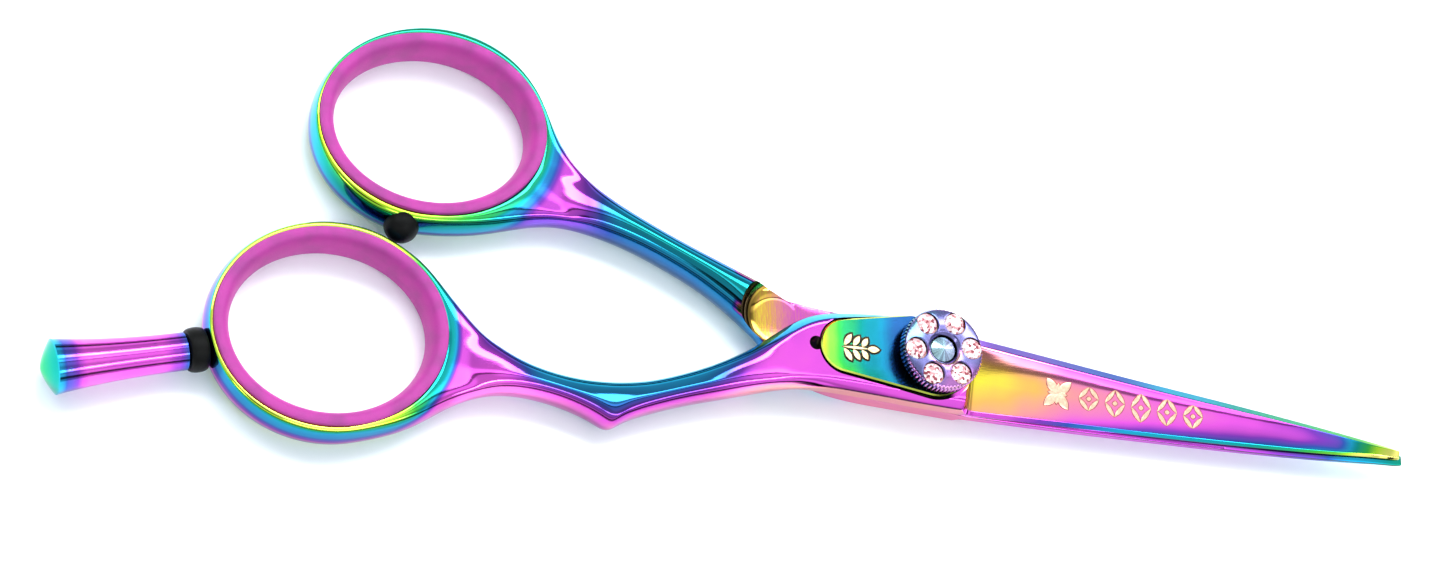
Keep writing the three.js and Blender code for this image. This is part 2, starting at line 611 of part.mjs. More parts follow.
// A round-cut stone: flat table, eight crown facets, a girdle and a foiled back.
function crystal(i) {
  const floor = KNOB.high - CRYSTAL_SEAT.depth + 0.05;
  const girdle = floor + CRYSTAL.back;
  const { r, crown, table } = CRYSTAL;
  const outline = [
    [0, floor], [0.55 * r, floor], [r, girdle], [r, girdle + 0.08], [table, girdle + crown], [0, girdle + crown],
  ];
  return placeCrystal(turned(outline, 16), i);
}

// ---------- assembly ----------
const shears = new THREE.Group();
const body = (name, ...pieces) => {
  const group = new THREE.Group();
  group.name = name;
  group.add(...pieces);
  shears.add(group);
};
const piece = (name, geometry, material) => {
  const mesh = new THREE.Mesh(geometry, material);
  mesh.name = name;
  return mesh;
};

body(
  "finger_half",
  piece("finger_blade", toGeometry(fingerBlade()), MATERIALS.coatedSteel),
  piece("finger_ring_insert", ringInsert(FINGER_RING), MATERIALS.insert),
  piece("finger_rest_stud", alongRest(rod(STUD.r, STUD.start, STUD.end, 16)), MATERIALS.steel),
  piece("finger_rest_washer", fingerRestWasher(), MATERIALS.rubber),
  piece("tension_plate", tensionPlate(), MATERIALS.coatedPlate),
  piece("pivot_screw", pivotScrew(), MATERIALS.steel),
  piece("pivot_bush", tube(BUSH.inner, BUSH.outer, BUSH.low, BUSH.high), MATERIALS.nylon),
  piece("spring_washer", springWasher(), MATERIALS.steel),
  piece(
    "head_washer",
    tube(HEAD_WASHER.inner, HEAD_WASHER.outer, HEAD_WASHER.low, HEAD_WASHER.high),
    MATERIALS.nylon,
  ),
  piece(
    "friction_washer",
    tube(
      FRICTION_WASHER.inner,
      FRICTION_WASHER.outer,
      FACE_Z - FRICTION_WASHER.half,
      FACE_Z + FRICTION_WASHER.half,
    ),
    MATERIALS.nylon,
  ),
);
body(
  "thumb_half",
  piece("thumb_blade", toGeometry(thumbBlade()), MATERIALS.coatedSteel),
  piece("thumb_ring_insert", ringInsert(THUMB_RING), MATERIALS.insert),
  piece("ring_bumper", bumperShape(0), MATERIALS.rubber),
);
body("finger_rest", piece("finger_rest", fingerRest(), MATERIALS.coatedSteel));
body(
  "knob",
  piece("tension_knob", tensionKnob(), MATERIALS.coatedKnob),
  ...Array.from({ length: CRYSTAL.count }, (_, i) => piece(`knob_crystal_${i + 1}`, crystal(i), MATERIALS.crystal)),
);

export default shears;
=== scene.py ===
"""Builds the looks of rainbow-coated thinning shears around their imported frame.

Every mesh is in metres in the frame's own axes: the origin is on the pivot axis, +X runs to the tips, +Y is
the thumb ring's side and +Z is up. Sizes in the classes below are in millimetres and are scaled by MM when
a mesh is made.
"""
import logging
import math
from dataclasses import astuple, dataclass, field, replace
from enum import Enum

import bmesh
import bpy
from mathutils import Matrix, Vector


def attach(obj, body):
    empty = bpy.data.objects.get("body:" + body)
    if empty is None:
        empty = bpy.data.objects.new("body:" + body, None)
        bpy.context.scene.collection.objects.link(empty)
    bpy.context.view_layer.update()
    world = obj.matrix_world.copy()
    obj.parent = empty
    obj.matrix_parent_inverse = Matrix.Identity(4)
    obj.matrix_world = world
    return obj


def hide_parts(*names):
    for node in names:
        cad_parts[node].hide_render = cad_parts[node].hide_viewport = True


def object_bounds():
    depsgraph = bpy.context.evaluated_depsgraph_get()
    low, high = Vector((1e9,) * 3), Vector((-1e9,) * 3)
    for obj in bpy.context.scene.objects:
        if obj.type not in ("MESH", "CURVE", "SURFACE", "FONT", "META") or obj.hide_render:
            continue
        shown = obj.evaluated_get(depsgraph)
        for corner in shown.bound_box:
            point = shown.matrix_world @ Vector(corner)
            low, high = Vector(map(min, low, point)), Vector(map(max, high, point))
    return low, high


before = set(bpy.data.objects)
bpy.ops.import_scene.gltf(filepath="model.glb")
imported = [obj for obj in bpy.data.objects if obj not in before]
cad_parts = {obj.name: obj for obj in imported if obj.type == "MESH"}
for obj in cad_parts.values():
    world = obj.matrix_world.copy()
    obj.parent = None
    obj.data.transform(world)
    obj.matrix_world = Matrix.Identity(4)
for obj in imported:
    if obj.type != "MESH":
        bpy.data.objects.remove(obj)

CAD_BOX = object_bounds()
LOG = logging.getLogger("shears")

MM = 0.001
FACE_Z = 3.0  # the plane that the two halves ride on
FACE_GAP = 0.05  # how far each half's inner face stays off it
RING_MID_Z = 2.7
RING_TOP_Z = 5.0
RING_BOTTOM_Z = 2 * RING_MID_Z - RING_TOP_Z
BORE_R = 2.45  # the hole through both halves and the plate
SEAT_R = 4.35  # the friction washer's seat, cut into both inner faces
SEAT_DEPTH = 0.27
SMOOTH = 35.0  # edges that turn by more degrees than this are sharp
BELOW_ALL = -1.0  # cutters run from here
ABOVE_ALL = 9.0  # to here
BLADE_END_X = 62.0  # where the colour curves along the blades stop

Point = tuple[float, float]
Place = tuple[float, float, float]
Colour = tuple[float, float, float]
Stops = list[tuple[float, Colour]]


class Body(Enum):
    """The rigid bodies that pieces ride on."""

    FINGER = "finger_half"
    THUMB = "thumb_half"
    REST = "finger_rest"
    KNOB = "knob"


class Side(Enum):
    """Which way a half's outer face points from the ride plane."""

    UP = 1
    DOWN = -1


# ---------------------------------------------------------------- mesh tools


class Shell:
    """Collects points and faces in millimetres and turns them into one object."""

    def __init__(self) -> None:
        """Starts with no points and no faces."""
        self.points: list[Place] = []
        self.faces: list[tuple[int, ...]] = []
        self.creases: dict[tuple[int, int], float] = {}

    def point(self, x: float, y: float, z: float) -> int:
        """Adds a point and returns its index."""
        self.points.append((x, y, z))
        return len(self.points) - 1

    def face(self, *corners: int) -> None:
        """Adds one face."""
        self.faces.append(corners)

    def strip(self, first: list[int], second: list[int], closed: bool = False) -> None:
        """Joins two rows of points with quads.

        Args:
            first: one row of point indices.
            second: the next row, of the same length.
            closed: whether the rows run round to their start.
        """
        count = len(first)
        for i in range(count if closed else count - 1):
            j = (i + 1) % count
            self.face(first[i], second[i], second[j], first[j])

    def crease(self, row: list[int], amount: float, closed: bool = False) -> None:
        """Creases the edges that follow a row of points.

        Args:
            row: the points' indices.
            amount: how sharp the edges are, 0 to 1.
            closed: whether the row runs round to its start.
        """
        ends = row[1:] + row[:1] if closed else row[1:]
        for a, b in zip(row, ends):
            self.creases[(min(a, b), max(a, b))] = amount

    def build(self, name: str, smooth: float = SMOOTH) -> bpy.types.Object:
        """Makes the object.

        Args:
            name: the object's name.
            smooth: edges that turn by more than this many degrees are sharp.

        Returns:
            The new object, linked to the scene, with outward faces.
        """
        mesh = bpy.data.meshes.new(name)
        mesh.from_pydata([Vector(p) * MM for p in self.points], [], self.faces)
        work = bmesh.new()
        work.from_mesh(mesh)
        bmesh.ops.recalc_face_normals(work, faces=work.faces)
        if self.creases:
            layer = work.edges.layers.float.new("crease_edge")
            for edge in work.edges:
                a, b = sorted(v.index for v in edge.verts)
                edge[layer] = self.creases.get((a, b), 0.0)
        work.to_mesh(mesh)
        work.free()
        thing = bpy.data.objects.new(name, mesh)
        bpy.context.scene.collection.objects.link(thing)
        shade(mesh, smooth)
        return thing


def shade(mesh: bpy.types.Mesh, degrees: float) -> None:
    """Shades a mesh smooth, with sharp edges past an angle."""
    mesh.shade_smooth()
    mesh.set_sharp_from_angle(angle=math.radians(degrees))


def lathe(name: str, profile: list[Point], segments: int = 96, smooth: float = SMOOTH) -> bpy.types.Object:
    """Turns a profile about Z.

    Args:
        name: the object's name.
        profile: radius and height of each point; a point on the axis closes an end, and a profile that
            returns to its first point makes a ring.
        segments: steps round the axis.
        smooth: sharp edge angle in degrees.

    Returns:
        The turned object.
    """
    shell = Shell()
    closed = profile[0] == profile[-1]
    rows = []
    for radius, height in profile[:-1] if closed else profile:
        if radius == 0:
            rows.append([shell.point(0, 0, height)])
            continue
        turns = [2 * math.pi * i / segments for i in range(segments)]
        rows.append([shell.point(radius * math.cos(a), radius * math.sin(a), height) for a in turns])
    following = rows[1:] + rows[:1] if closed else rows[1:]
    for first, second in zip(rows, following):
        if len(first) == 1 or len(second) == 1:
            tip, ring = (first, second) if len(first) == 1 else (second, first)
            for i in range(segments):
                shell.face(tip[0], ring[i], ring[(i + 1) % segments])
        else:
            shell.strip(first, second, closed=True)
    return shell.build(name, smooth)


def prism(name: str, outline: list[Point], low: float, high: float) -> bpy.types.Object:
    """Extrudes a plan outline between two heights.

    Args:
        name: the object's name.
        outline: the plan's points in order.
        low: the lower height.
        high: the upper height.

    Returns:
        The closed object.
    """
    shell = Shell()
    bottom = [shell.point(x, y, low) for x, y in outline]
    top = [shell.point(x, y, high) for x, y in outline]
    shell.strip(bottom, top, closed=True)
    shell.face(*bottom)
    shell.face(*top)
    return shell.build(name)


def disc(centre: Point, radius: float, steps: int = 48) -> list[Point]:
    """The points of a circle in plan."""
    turns = [2 * math.pi * i / steps for i in range(steps)]
    return [(centre[0] + radius * math.cos(a), centre[1] + radius * math.sin(a)) for a in turns]


def frozen(thing: bpy.types.Object, smooth: float = SMOOTH) -> bpy.types.Object:
    """Applies an object's modifiers and shades the result.

    Args:
        thing: the object.
        smooth: sharp edge angle in degrees.

    Returns:
        The same object, with its final mesh.
    """
    bpy.context.view_layer.update()
    depsgraph = bpy.context.evaluated_depsgraph_get()
    mesh = bpy.data.meshes.new_from_object(thing.evaluated_get(depsgraph))
    thing.modifiers.clear()
    old = thing.data
    thing.data = mesh
    bpy.data.meshes.remove(old)
    mesh.name = thing.name
    shade(mesh, smooth)
    return thing


def cut(thing: bpy.types.Object, cutters: list[bpy.types.Object], smooth: float = SMOOTH) -> bpy.types.Object:
    """Subtracts cutters from an object, then removes them.

    Args:
        thing: a closed object.
        cutters: closed objects that go away afterwards.
        smooth: sharp edge angle in degrees.

    Returns:
        The cut object.
    """
    for cutter in cutters:
        step = thing.modifiers.new("cut", "BOOLEAN")
        step.operation = "DIFFERENCE"
        step.solver = "MANIFOLD"
        step.object = cutter
    frozen(thing, smooth)
    for cutter in cutters:
        bpy.data.objects.remove(cutter)
    return thing


def joined(name: str, things: list[bpy.types.Object]) -> bpy.types.Object:
    """Joins separate closed objects into one.

    Args:
        name: the new object's name.
        things: the objects, which go away.

    Returns:
        The new object.
    """
    work = bmesh.new()
    for thing in things:
        piece = thing.data.copy()
        piece.transform(thing.matrix_world)
        work.from_mesh(piece)
        bpy.data.meshes.remove(piece)
    mesh = bpy.data.meshes.new(name)
    work.to_mesh(mesh)
    work.free()
    for thing in things:
        bpy.data.objects.remove(thing)
    whole = bpy.data.objects.new(name, mesh)
    bpy.context.scene.collection.objects.link(whole)
    shade(mesh, SMOOTH)
    return whole


def shift(thing: bpy.types.Object, x: float, y: float, z: float) -> bpy.types.Object:
    """Moves an object's mesh by millimetres."""
    thing.data.transform(Matrix.Translation(Vector((x, y, z)) * MM))
    return thing


def mount(piece: bpy.types.Object, body: Body, slot: str, finish: bpy.types.Material, *nodes: str) -> None:
    """Dresses a piece and fixes it to its body.

    Args:
        piece: the object.
        body: the rigid body it rides on.
        slot: the record's material slot; not used.
        finish: its material.
        nodes: the frame's nodes it stands for.
    """
    piece.data.materials.clear()
    piece.data.materials.append(finish)
    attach(piece, body.value)
    if nodes:
        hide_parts(*nodes)
    LOG.info("%s rides on %s", piece.name, body.value)


# ---------------------------------------------------------------- shader tools


class Value:
    """A number that varies over a surface, with Python's arithmetic."""

    def __init__(self, graph: "NodeTree", socket: bpy.types.NodeSocket) -> None:
        """Wraps a node's output socket."""
        self.graph = graph
        self.socket = socket

    def maths(self, operation: str, *others: "Value | float", first: float | None = None) -> "Value":
        """Adds one Math node, with this value as its first operand unless a number is given for it."""
        operands = [self if first is None else first, *others]
        return self.graph.add("ShaderNodeMath", {"operation": operation}, dict(enumerate(operands)))

    def __add__(self, other: "Value | float") -> "Value":
        """Sum."""
        return self.maths("ADD", other)

    __radd__ = __add__

    def __sub__(self, other: "Value | float") -> "Value":
        """Difference."""
        return self.maths("SUBTRACT", other)

    def __rsub__(self, other: float) -> "Value":
        """Reflected difference."""
        return self.maths("SUBTRACT", self, first=other)

    def __mul__(self, other: "Value | float") -> "Value":
        """Product."""
        return self.maths("MULTIPLY", other)

    __rmul__ = __mul__

    def __truediv__(self, other: "Value | float") -> "Value":
        """Quotient."""
        return self.maths("DIVIDE", other)

    def at_least(self, low: float) -> "Value":
        """The larger of this and a number."""
        return self.maths("MAXIMUM", low)

    def at_most(self, high: float) -> "Value":
        """The smaller of this and a number."""
        return self.maths("MINIMUM", high)

    def size(self) -> "Value":
        """The absolute value."""
        return self.maths("ABSOLUTE")

    def root(self) -> "Value":
        """The square root."""
        return self.maths("SQRT")

    def rise(self, low: float, high: float) -> "Value":
        """0 below low and 1 above high, with a smooth step between; reversed where low is the larger."""
        sockets = {"Value": self, "From Min": low, "From Max": high}
        return self.graph.add("ShaderNodeMapRange", {"interpolation_type": "SMOOTHSTEP"}, sockets)

    def towards(self, other: "Value | float", share: "Value") -> "Value":
        """This value blended into another by a share from 0 to 1."""
        return self + (other - self) * share


class NodeTree:
    """A shader node tree and the ways to add to it."""

    def __init__(self, tree: bpy.types.NodeTree) -> None:
        """Wraps an existing tree."""
        self.tree = tree

    def node(self, kind: str, settings: dict | None = None, sockets: dict | None = None) -> bpy.types.Node:
        """Adds a node.

        Args:
            kind: the node's type.
            settings: its properties, set first; "stops" is a ramp's list of position and colour.
            sockets: input name or index to a value, a Value or an output socket.

        Returns:
            The node.
        """
        made = self.tree.nodes.new(kind)
        for key, setting in (settings or {}).items():
            if key == "stops":
                self.fill_ramp(made.color_ramp, setting)
            else:
                setattr(made, key, setting)
        for key, given in (sockets or {}).items():
            given = given.socket if isinstance(given, Value) else given
            if isinstance(given, bpy.types.NodeSocket):
                self.tree.links.new(given, made.inputs[key])
            else:
                made.inputs[key].default_value = given
        return made

    @staticmethod
    def fill_ramp(ramp: bpy.types.ColorRamp, stops: Stops) -> None:
        """Sets a ramp's stops.

        Args:
            ramp: a new ramp.
            stops: position and colour of each stop, in order.
        """
        while len(ramp.elements) < len(stops):
            ramp.elements.new(1.0)
        for element, (place, colour) in zip(ramp.elements, stops):
            element.position = place
            element.color = (*colour, 1.0)

    def add(self, kind: str, settings: dict | None, sockets: dict | None, out: int | str = 0) -> Value:
        """Adds a node and wraps one of its outputs."""
        return Value(self, self.node(kind, settings, sockets).outputs[out])

    def split(self, vector: bpy.types.NodeSocket) -> tuple[Value, Value, Value]:
        """The three parts of a vector."""
        made = self.node("ShaderNodeSeparateXYZ", None, {0: vector})
        return tuple(Value(self, made.outputs[i]) for i in range(3))

    def scaled(self, vector: bpy.types.NodeSocket, amount: float) -> bpy.types.NodeSocket:
        """A vector times a number."""
        sockets = {0: vector, "Scale": amount}
        return self.node("ShaderNodeVectorMath", {"operation": "SCALE"}, sockets).outputs[0]

    def dot(self, vector: bpy.types.NodeSocket, along: Vector) -> Value:
        """How far a vector points along a fixed direction."""
        sockets = {0: vector, 1: tuple(along.normalized())}
        return self.add("ShaderNodeVectorMath", {"operation": "DOT_PRODUCT"}, sockets, "Value")

    def ramp(self, value: Value, stops: Stops, mode: str = "LINEAR") -> bpy.types.NodeSocket:
        """A colour looked up by a value.

        Args:
            value: the place to look up, 0 to 1.
            stops: position and colour of each stop.
            mode: how the ramp runs between its stops.

        Returns:
            The colour socket.
        """
        made = self.node("ShaderNodeValToRGB", {"stops": stops}, {0: value})
        made.color_ramp.interpolation = mode
        return made.outputs[0]

    def curve(self, value: Value, low: float, high: float, stops: list[Point]) -> Value:
        """A number from 0 to 1 looked up along a value.

        Args:
            value: the place to look up.
            low: where the curve starts.
            high: where it ends.
            stops: place and number of each stop.

        Returns:
            The number.
        """
        share = (value - low) / (high - low)
        spread = [((place - low) / (high - low), (height,) * 3) for place, height in stops]
        grey = self.ramp(share, spread, "EASE")
        return self.add("ShaderNodeSeparateColor", None, {0: grey})

    def mixed(
        self,
        share: Value | float,
        first: Colour | bpy.types.NodeSocket,
        second: Colour | bpy.types.NodeSocket,
    ) -> bpy.types.NodeSocket:
        """A colour between two colours.

        Args:
            share: 0 for the first, 1 for the second.
            first: a colour or a colour socket.
            second: a colour or a colour socket.

        Returns:
            The colour socket.
        """
        made = self.node("ShaderNodeMix", {"data_type": "RGBA"}, {0: share})
        for index, given in ((6, first), (7, second)):
            if isinstance(given, bpy.types.NodeSocket):
                self.tree.links.new(given, made.inputs[index])
            else:
                made.inputs[index].default_value = (*given, 1.0)
        return made.outputs[2]


class Graph(NodeTree):
    """One material's node tree, with the surface's position in millimetres and its normal."""

    def __init__(self, name: str) -> None:
        """Starts a material with one Principled shader.

        Args:
            name: the material's name.
        """
        self.material = bpy.data.materials.new(name)
        self.material.use_nodes = True
        super().__init__(self.material.node_tree)
        self.shader = self.tree.nodes["Principled BSDF"]
        place = self.node("ShaderNodeTexCoord")
        self.position = self.scaled(place.outputs["Object"], 1 / MM)
        self.x, self.y, self.z = self.split(self.position)
        self.nx, self.ny, self.nz = self.split(place.outputs["Normal"])

    def stretched(self, along: Place) -> bpy.types.NodeSocket:
        """The position in millimetres, multiplied by a different number along each axis."""
        sockets = {0: self.position, 1: along}
        return self.node("ShaderNodeVectorMath", {"operation": "MULTIPLY"}, sockets).outputs[0]

    def axis_distance(self) -> Value:
        """Distance from the pivot axis in millimetres."""
        return (self.x * self.x + self.y * self.y).root()

    def noise(self, scale: float, detail: float = 2.0, vector: bpy.types.NodeSocket | None = None) -> Value:
        """Smooth noise about 0.5, by millimetre position unless another vector is given."""
        sockets = {"Vector": vector or self.position, "Scale": scale, "Detail": detail}
        return self.add("ShaderNodeTexNoise", {"noise_dimensions": "3D"}, sockets)

    def bump(self, height: Value, depth: float) -> bpy.types.NodeSocket:
        """A normal tilted by a height, whose full range is depth in millimetres."""
        sockets = {"Height": height, "Distance": depth * MM, "Strength": 1.0}
        return self.node("ShaderNodeBump", None, sockets).outputs[0]

    def finish(
        self, **inputs: Value | float | tuple[float, ...] | bpy.types.NodeSocket
    ) -> bpy.types.Material:
        """Sets the shader's sockets.

        Args:
            inputs: a value, number, colour or socket for each input, named with underscores for spaces.

        Returns:
            The material.
        """
        for key, given in inputs.items():
            target = self.shader.inputs[key.replace("_", " ")]
            given = given.socket if isinstance(given, Value) else given
            if isinstance(given, bpy.types.NodeSocket):
                self.tree.links.new(given, target)
            elif isinstance(given, tuple) and len(given) == 3:
                target.default_value = (*given, 1.0)
            else:
                target.default_value = given
        return self.material


# ---------------------------------------------------------------- finishes

# The interference colours of the coat, in order of film phase.
FILM: Stops = [
    (0.00, (1.00, 0.80, 0.06)),
    (0.07, (0.95, 0.48, 0.12)),
    (0.15, (0.88, 0.27, 0.36)),
    (0.26, (0.80, 0.10, 0.70)),
    (0.36, (0.24, 0.05, 0.50)),
    (0.45, (0.04, 0.10, 0.46)),
    (0.56, (0.02, 0.38, 0.62)),
    (0.66, (0.01, 0.36, 0.30)),
    (0.77, (0.05, 0.52, 0.07)),
    (0.88, (0.55, 0.92, 0.04)),
    (1.00, (1.00, 0.90, 0.22)),
]


# The black that painted shade takes the coat's colour towards.
SHADE_BLACK: Colour = (0.004, 0.003, 0.006)


@dataclass(frozen=True)
class RainbowCoat:
    """Polished steel under an interference film, whose phase each piece gives.

    grey is the share of tone that is mixed into the film's colour, and scratch is the depth of the
    polishing marks.
    """

    name: str
    roughness: float = 0.06
    scratch: float = 0.0012
    grey: float = 0.0
    tone: Colour = (0.2, 0.2, 0.34)

    def begin(self) -> Graph:
        """Starts the material's graph."""
        return Graph(self.name)

    def complete(self, graph: Graph, phase: Value, painted_dark: Value | float = 0.0) -> bpy.types.Material:
        """Adds the film's colour, its uneven thickness, polishing marks and painted shade.

        Args:
            graph: the material's graph.
            phase: the film phase, 0 to 1.
            painted_dark: how much painted shade takes the colour to black, as in seams and pockets.

        Returns:
            The material.
        """
        uneven = (graph.noise(0.22) - 0.5) * 0.05
        toned = graph.mixed(self.grey, graph.ramp(phase + uneven, FILM), self.tone)
        # painted shade: the colour goes towards black by the given share
        colour = graph.mixed(painted_dark, toned, SHADE_BLACK)
        marks = graph.noise(1.0, 4.0, graph.stretched((0.5, 9.0, 9.0)))
        smear = graph.noise(0.5, 3.0)
        return graph.finish(
            Base_Color=colour,
            Metallic=1.0,
            Roughness=self.roughness + (smear - 0.5) * 0.06 + marks.rise(0.62, 0.8) * 0.05,
            Normal=graph.bump(marks, self.scratch),
        )


@dataclass(frozen=True)
class SoftRubber:
    """Matte moulded rubber, shaded where it faces up; grain is the depth of its texture."""

    name: str
    colour: Colour
    shade: Colour
    roughness: float = 0.55
    gloss: float = 0.3
    grain: float = 0.012

    def make(self) -> bpy.types.Material:
        """Builds the material."""
        graph = Graph(self.name)
        cloud = graph.noise(0.35, 3.0).rise(0.35, 0.7)
        fine = graph.noise(9.0, 3.0)
        # painted shade: the rubber darkens where it faces up
        painted_top_shade = graph.nz.rise(0.3, 1.0)
        colour = graph.mixed(cloud * 0.4 + fine * 0.2 + painted_top_shade * 0.4, self.colour, self.shade)
        return graph.finish(
            Base_Color=colour,
            Roughness=self.roughness + (fine - 0.5) * 0.18 + painted_top_shade * 0.06,
            Specular_IOR_Level=self.gloss,
            Normal=graph.bump(fine, self.grain),
        )


# Painted glints: the colours that each cell of a crystal flashes, from dark brown to white.
PAINTED_GLINTS: Stops = [
    (0.0, (0.30, 0.05, 0.07)),
    (0.16, (0.72, 0.30, 0.32)),
    (0.34, (0.95, 0.60, 0.62)),
    (0.58, (1.0, 0.78, 0.80)),
    (0.8, (1.0, 0.96, 0.95)),
]


@dataclass(frozen=True)
class CutCrystal:
    """A foil-backed round-cut stone whose pink, white and brown flashes are painted glints."""

    name: str

    def make(self) -> bpy.types.Material:
        """Builds the material, with a painted glint of its own in each cell."""
        graph = Graph(self.name)
        sockets = {"Vector": graph.position, "Scale": 3.4, "Randomness": 1.0}
        cells = graph.node("ShaderNodeTexVoronoi", {"feature": "F1"}, sockets)
        flash = graph.split(cells.outputs["Color"])[0]
        return graph.finish(
            Base_Color=graph.ramp(flash, PAINTED_GLINTS, "CONSTANT"),
            Roughness=0.05 + flash * 0.1,
            Metallic=0.35,
            Coat_Weight=0.8,
            Normal=graph.bump(flash, 0.12),
        )


@dataclass(frozen=True)
class Turned:
    """Bare metal turned about the pivot axis."""

    name: str
    colour: Colour
    roughness: float = 0.3

    def make(self) -> bpy.types.Material:
        """Builds the material, with the fine rings that a lathe leaves."""
        graph = Graph(self.name)
        sockets = {"W": graph.axis_distance(), "Scale": 14.0, "Detail": 4.0}
        rings = graph.add("ShaderNodeTexNoise", {"noise_dimensions": "1D"}, sockets)
        stain = graph.noise(0.8, 3.0)
        dull = tuple(0.72 * part for part in self.colour)
        return graph.finish(
            Base_Color=graph.mixed(stain.rise(0.4, 0.75) * 0.6, self.colour, dull),
            Metallic=1.0,
            Roughness=self.roughness + (rings - 0.5) * 0.2,
            Normal=graph.bump(rings, 0.004),
        )


@dataclass(frozen=True)
class Nylon:
    """White machined plastic."""

    name: str

    def make(self) -> bpy.types.Material:
        """Builds the material."""
        graph = Graph(self.name)
        grain = graph.noise(6.0, 3.0)
        return graph.finish(
            Base_Color=graph.mixed(grain, (0.82, 0.80, 0.74), (0.92, 0.91, 0.88)),
            Roughness=0.45 + (grain - 0.5) * 0.2,
            Subsurface_Weight=0.1,
            Normal=graph.bump(grain, 0.005),
        )


@dataclass(frozen=True)
class GiltInlay:
    """Warm gold in an etched mark, with a darker grain."""

    name: str
    colour: Colour
    dark: Colour

    def make(self) -> bpy.types.Material:
        """Builds the material."""
        graph = Graph(self.name)
        grain = graph.noise(3.0, 4.0)
        return graph.finish(
            Base_Color=graph.mixed(grain.rise(0.35, 0.65), self.colour, self.dark),
            Metallic=0.85,
            Roughness=0.32 + (grain - 0.5) * 0.3,
            Normal=graph.bump(grain, 0.02),
        )


# ---------------------------------------------------------------- rings


@dataclass(frozen=True)
class Ring:
    """A finger ring in plan: the metal's outer oval and the oval of the insert's lip.

    outer and lip are the ovals' half lengths and half widths; the leans are how far they turn, in degrees.
    """

    centre: Point
    outer: Point
    lean: float
    lip: Point
    lip_lean: float = 2.0

    def edge(self, bearing: float, semi: Point, lean: float) -> float:
        """How far an oval reaches from the centre, at a bearing in radians."""
        turn = bearing - math.radians(lean)
        return 1 / math.hypot(math.cos(turn) / semi[0], math.sin(turn) / semi[1])

    def lip_reach(self, bearing: float, inset: float = 0.0) -> float:
        """How far the lip's oval reaches, less an inset."""
        return self.edge(bearing, (self.lip[0] - inset, self.lip[1] - inset), self.lip_lean)

    def outer_reach(self, bearing: float) -> float:
        """How far the metal reaches."""
        return self.edge(bearing, self.outer, self.lean)

    def at(self, bearing: float, reach: float) -> Point:
        """The plan point at a bearing and a distance from the centre."""
        return (self.centre[0] + reach * math.cos(bearing), self.centre[1] + reach * math.sin(bearing))


@dataclass(frozen=True)
class RingInsert:
    """The soft liner of a ring: a lip on each face and a wall that bulges inwards.

    flat is how wide the lip's level part is, wall how far the middle reaches past the lip, proud and sink
    how far the lip stands above and reaches below the metal's face, and chamfer the lip's rounding at two
    points.
    """

    node: str
    ring: Ring
    body: Body
    lip_width: float = 1.15
    flat: float = 0.55
    wall: float = 0.68
    proud: float = 0.38
    sink: float = 0.35
    chamfer: Point = (0.07, 0.22)
    arc_steps: int = 12
    steps: int = 144

    def section(self) -> list[Point]:
        """Draws the liner's section.

        Returns:
            Inset from the lip's outline and height of each point, in order round the section.
        """
        top = RING_TOP_Z + self.proud
        small, large = self.chamfer
        upper: list[Point] = [
            (0.0, RING_TOP_Z - self.sink), (0.0, top - large), (small, top - small), (large, top),
        ]
        deep = top - RING_MID_Z
        for i in range(self.arc_steps + 1):
            angle = math.radians(90 - 90 * i / self.arc_steps)
            inset = self.flat + (self.lip_width + self.wall - self.flat) * math.cos(angle) ** 0.8
            upper.append((inset, RING_MID_Z + deep * math.sin(angle) ** 1.1))
        lower = [(inset, 2 * RING_MID_Z - height) for inset, height in reversed(upper[:-1])]
        back = [(self.lip_width, RING_BOTTOM_Z + self.sink), (self.lip_width, RING_TOP_Z - self.sink)]
        return upper + lower + back

    def build(self, finish: bpy.types.Material) -> None:
        """Makes the liner and mounts it.

        Args:
            finish: its material.
        """
        shell = Shell()
        rows = []
        for i in range(self.steps):
            bearing = 2 * math.pi * i / self.steps
            row = []
            for inset, height in self.section():
                x, y = self.ring.at(bearing, self.ring.lip_reach(bearing, inset))
                row.append(shell.point(x, y, height))
            rows.append(row)
        for first, second in zip(rows, rows[1:] + rows[:1]):
            shell.strip(first, second, closed=True)
        piece = shell.build(self.node + "_soft")
        mount(piece, self.body, "magenta_rubber", finish, self.node)


# ---------------------------------------------------------------- the two halves


@dataclass(frozen=True)
class Profile:
    """The section of a half: heights in millimetres from the ride plane, positive towards the outer face.

    flat is 0 for rounded edges and 1 for crisp bevels.
    """

    crest_u: float  # the outer face at its upper edge
    crest_l: float  # and at its lower edge
    mid_u: float  # the side wall at the upper edge
    mid_l: float  # and at the lower edge
    inner: float  # the inner face
    round_u: float  # how wide the rounding or bevel is at the upper edge
    round_l: float  # and at the lower edge
    round_in: float  # and on the inner face
    flat: float = 0.0

    def blend(self, other: "Profile", share: float) -> "Profile":
        """A profile between this one and another, by a share from 0 to 1."""
        return Profile(*[a + (b - a) * share for a, b in zip(astuple(self), astuple(other))])

    def swapped(self) -> "Profile":
        """The same profile with its two edges exchanged."""
        return replace(
            self,
            crest_u=self.crest_l,
            crest_l=self.crest_u,
            mid_u=self.mid_l,
            mid_l=self.mid_u,
            round_u=self.round_l,
            round_l=self.round_u,
        )


def ring_profile(side: Side) -> Profile:
    """The thick profile where a shank leaves its ring.

    Args:
        side: which way the half's outer face points.

    Returns:
        The profile.
    """
    top = side.value * (RING_TOP_Z - FACE_Z)
    bottom = side.value * (RING_BOTTOM_Z - FACE_Z)
    outer, inner = (top, bottom) if side is Side.UP else (bottom, top)
    middle = side.value * (RING_MID_Z - FACE_Z)
    return Profile(outer, outer, middle, middle, inner, 1.5, 1.5, 1.5)


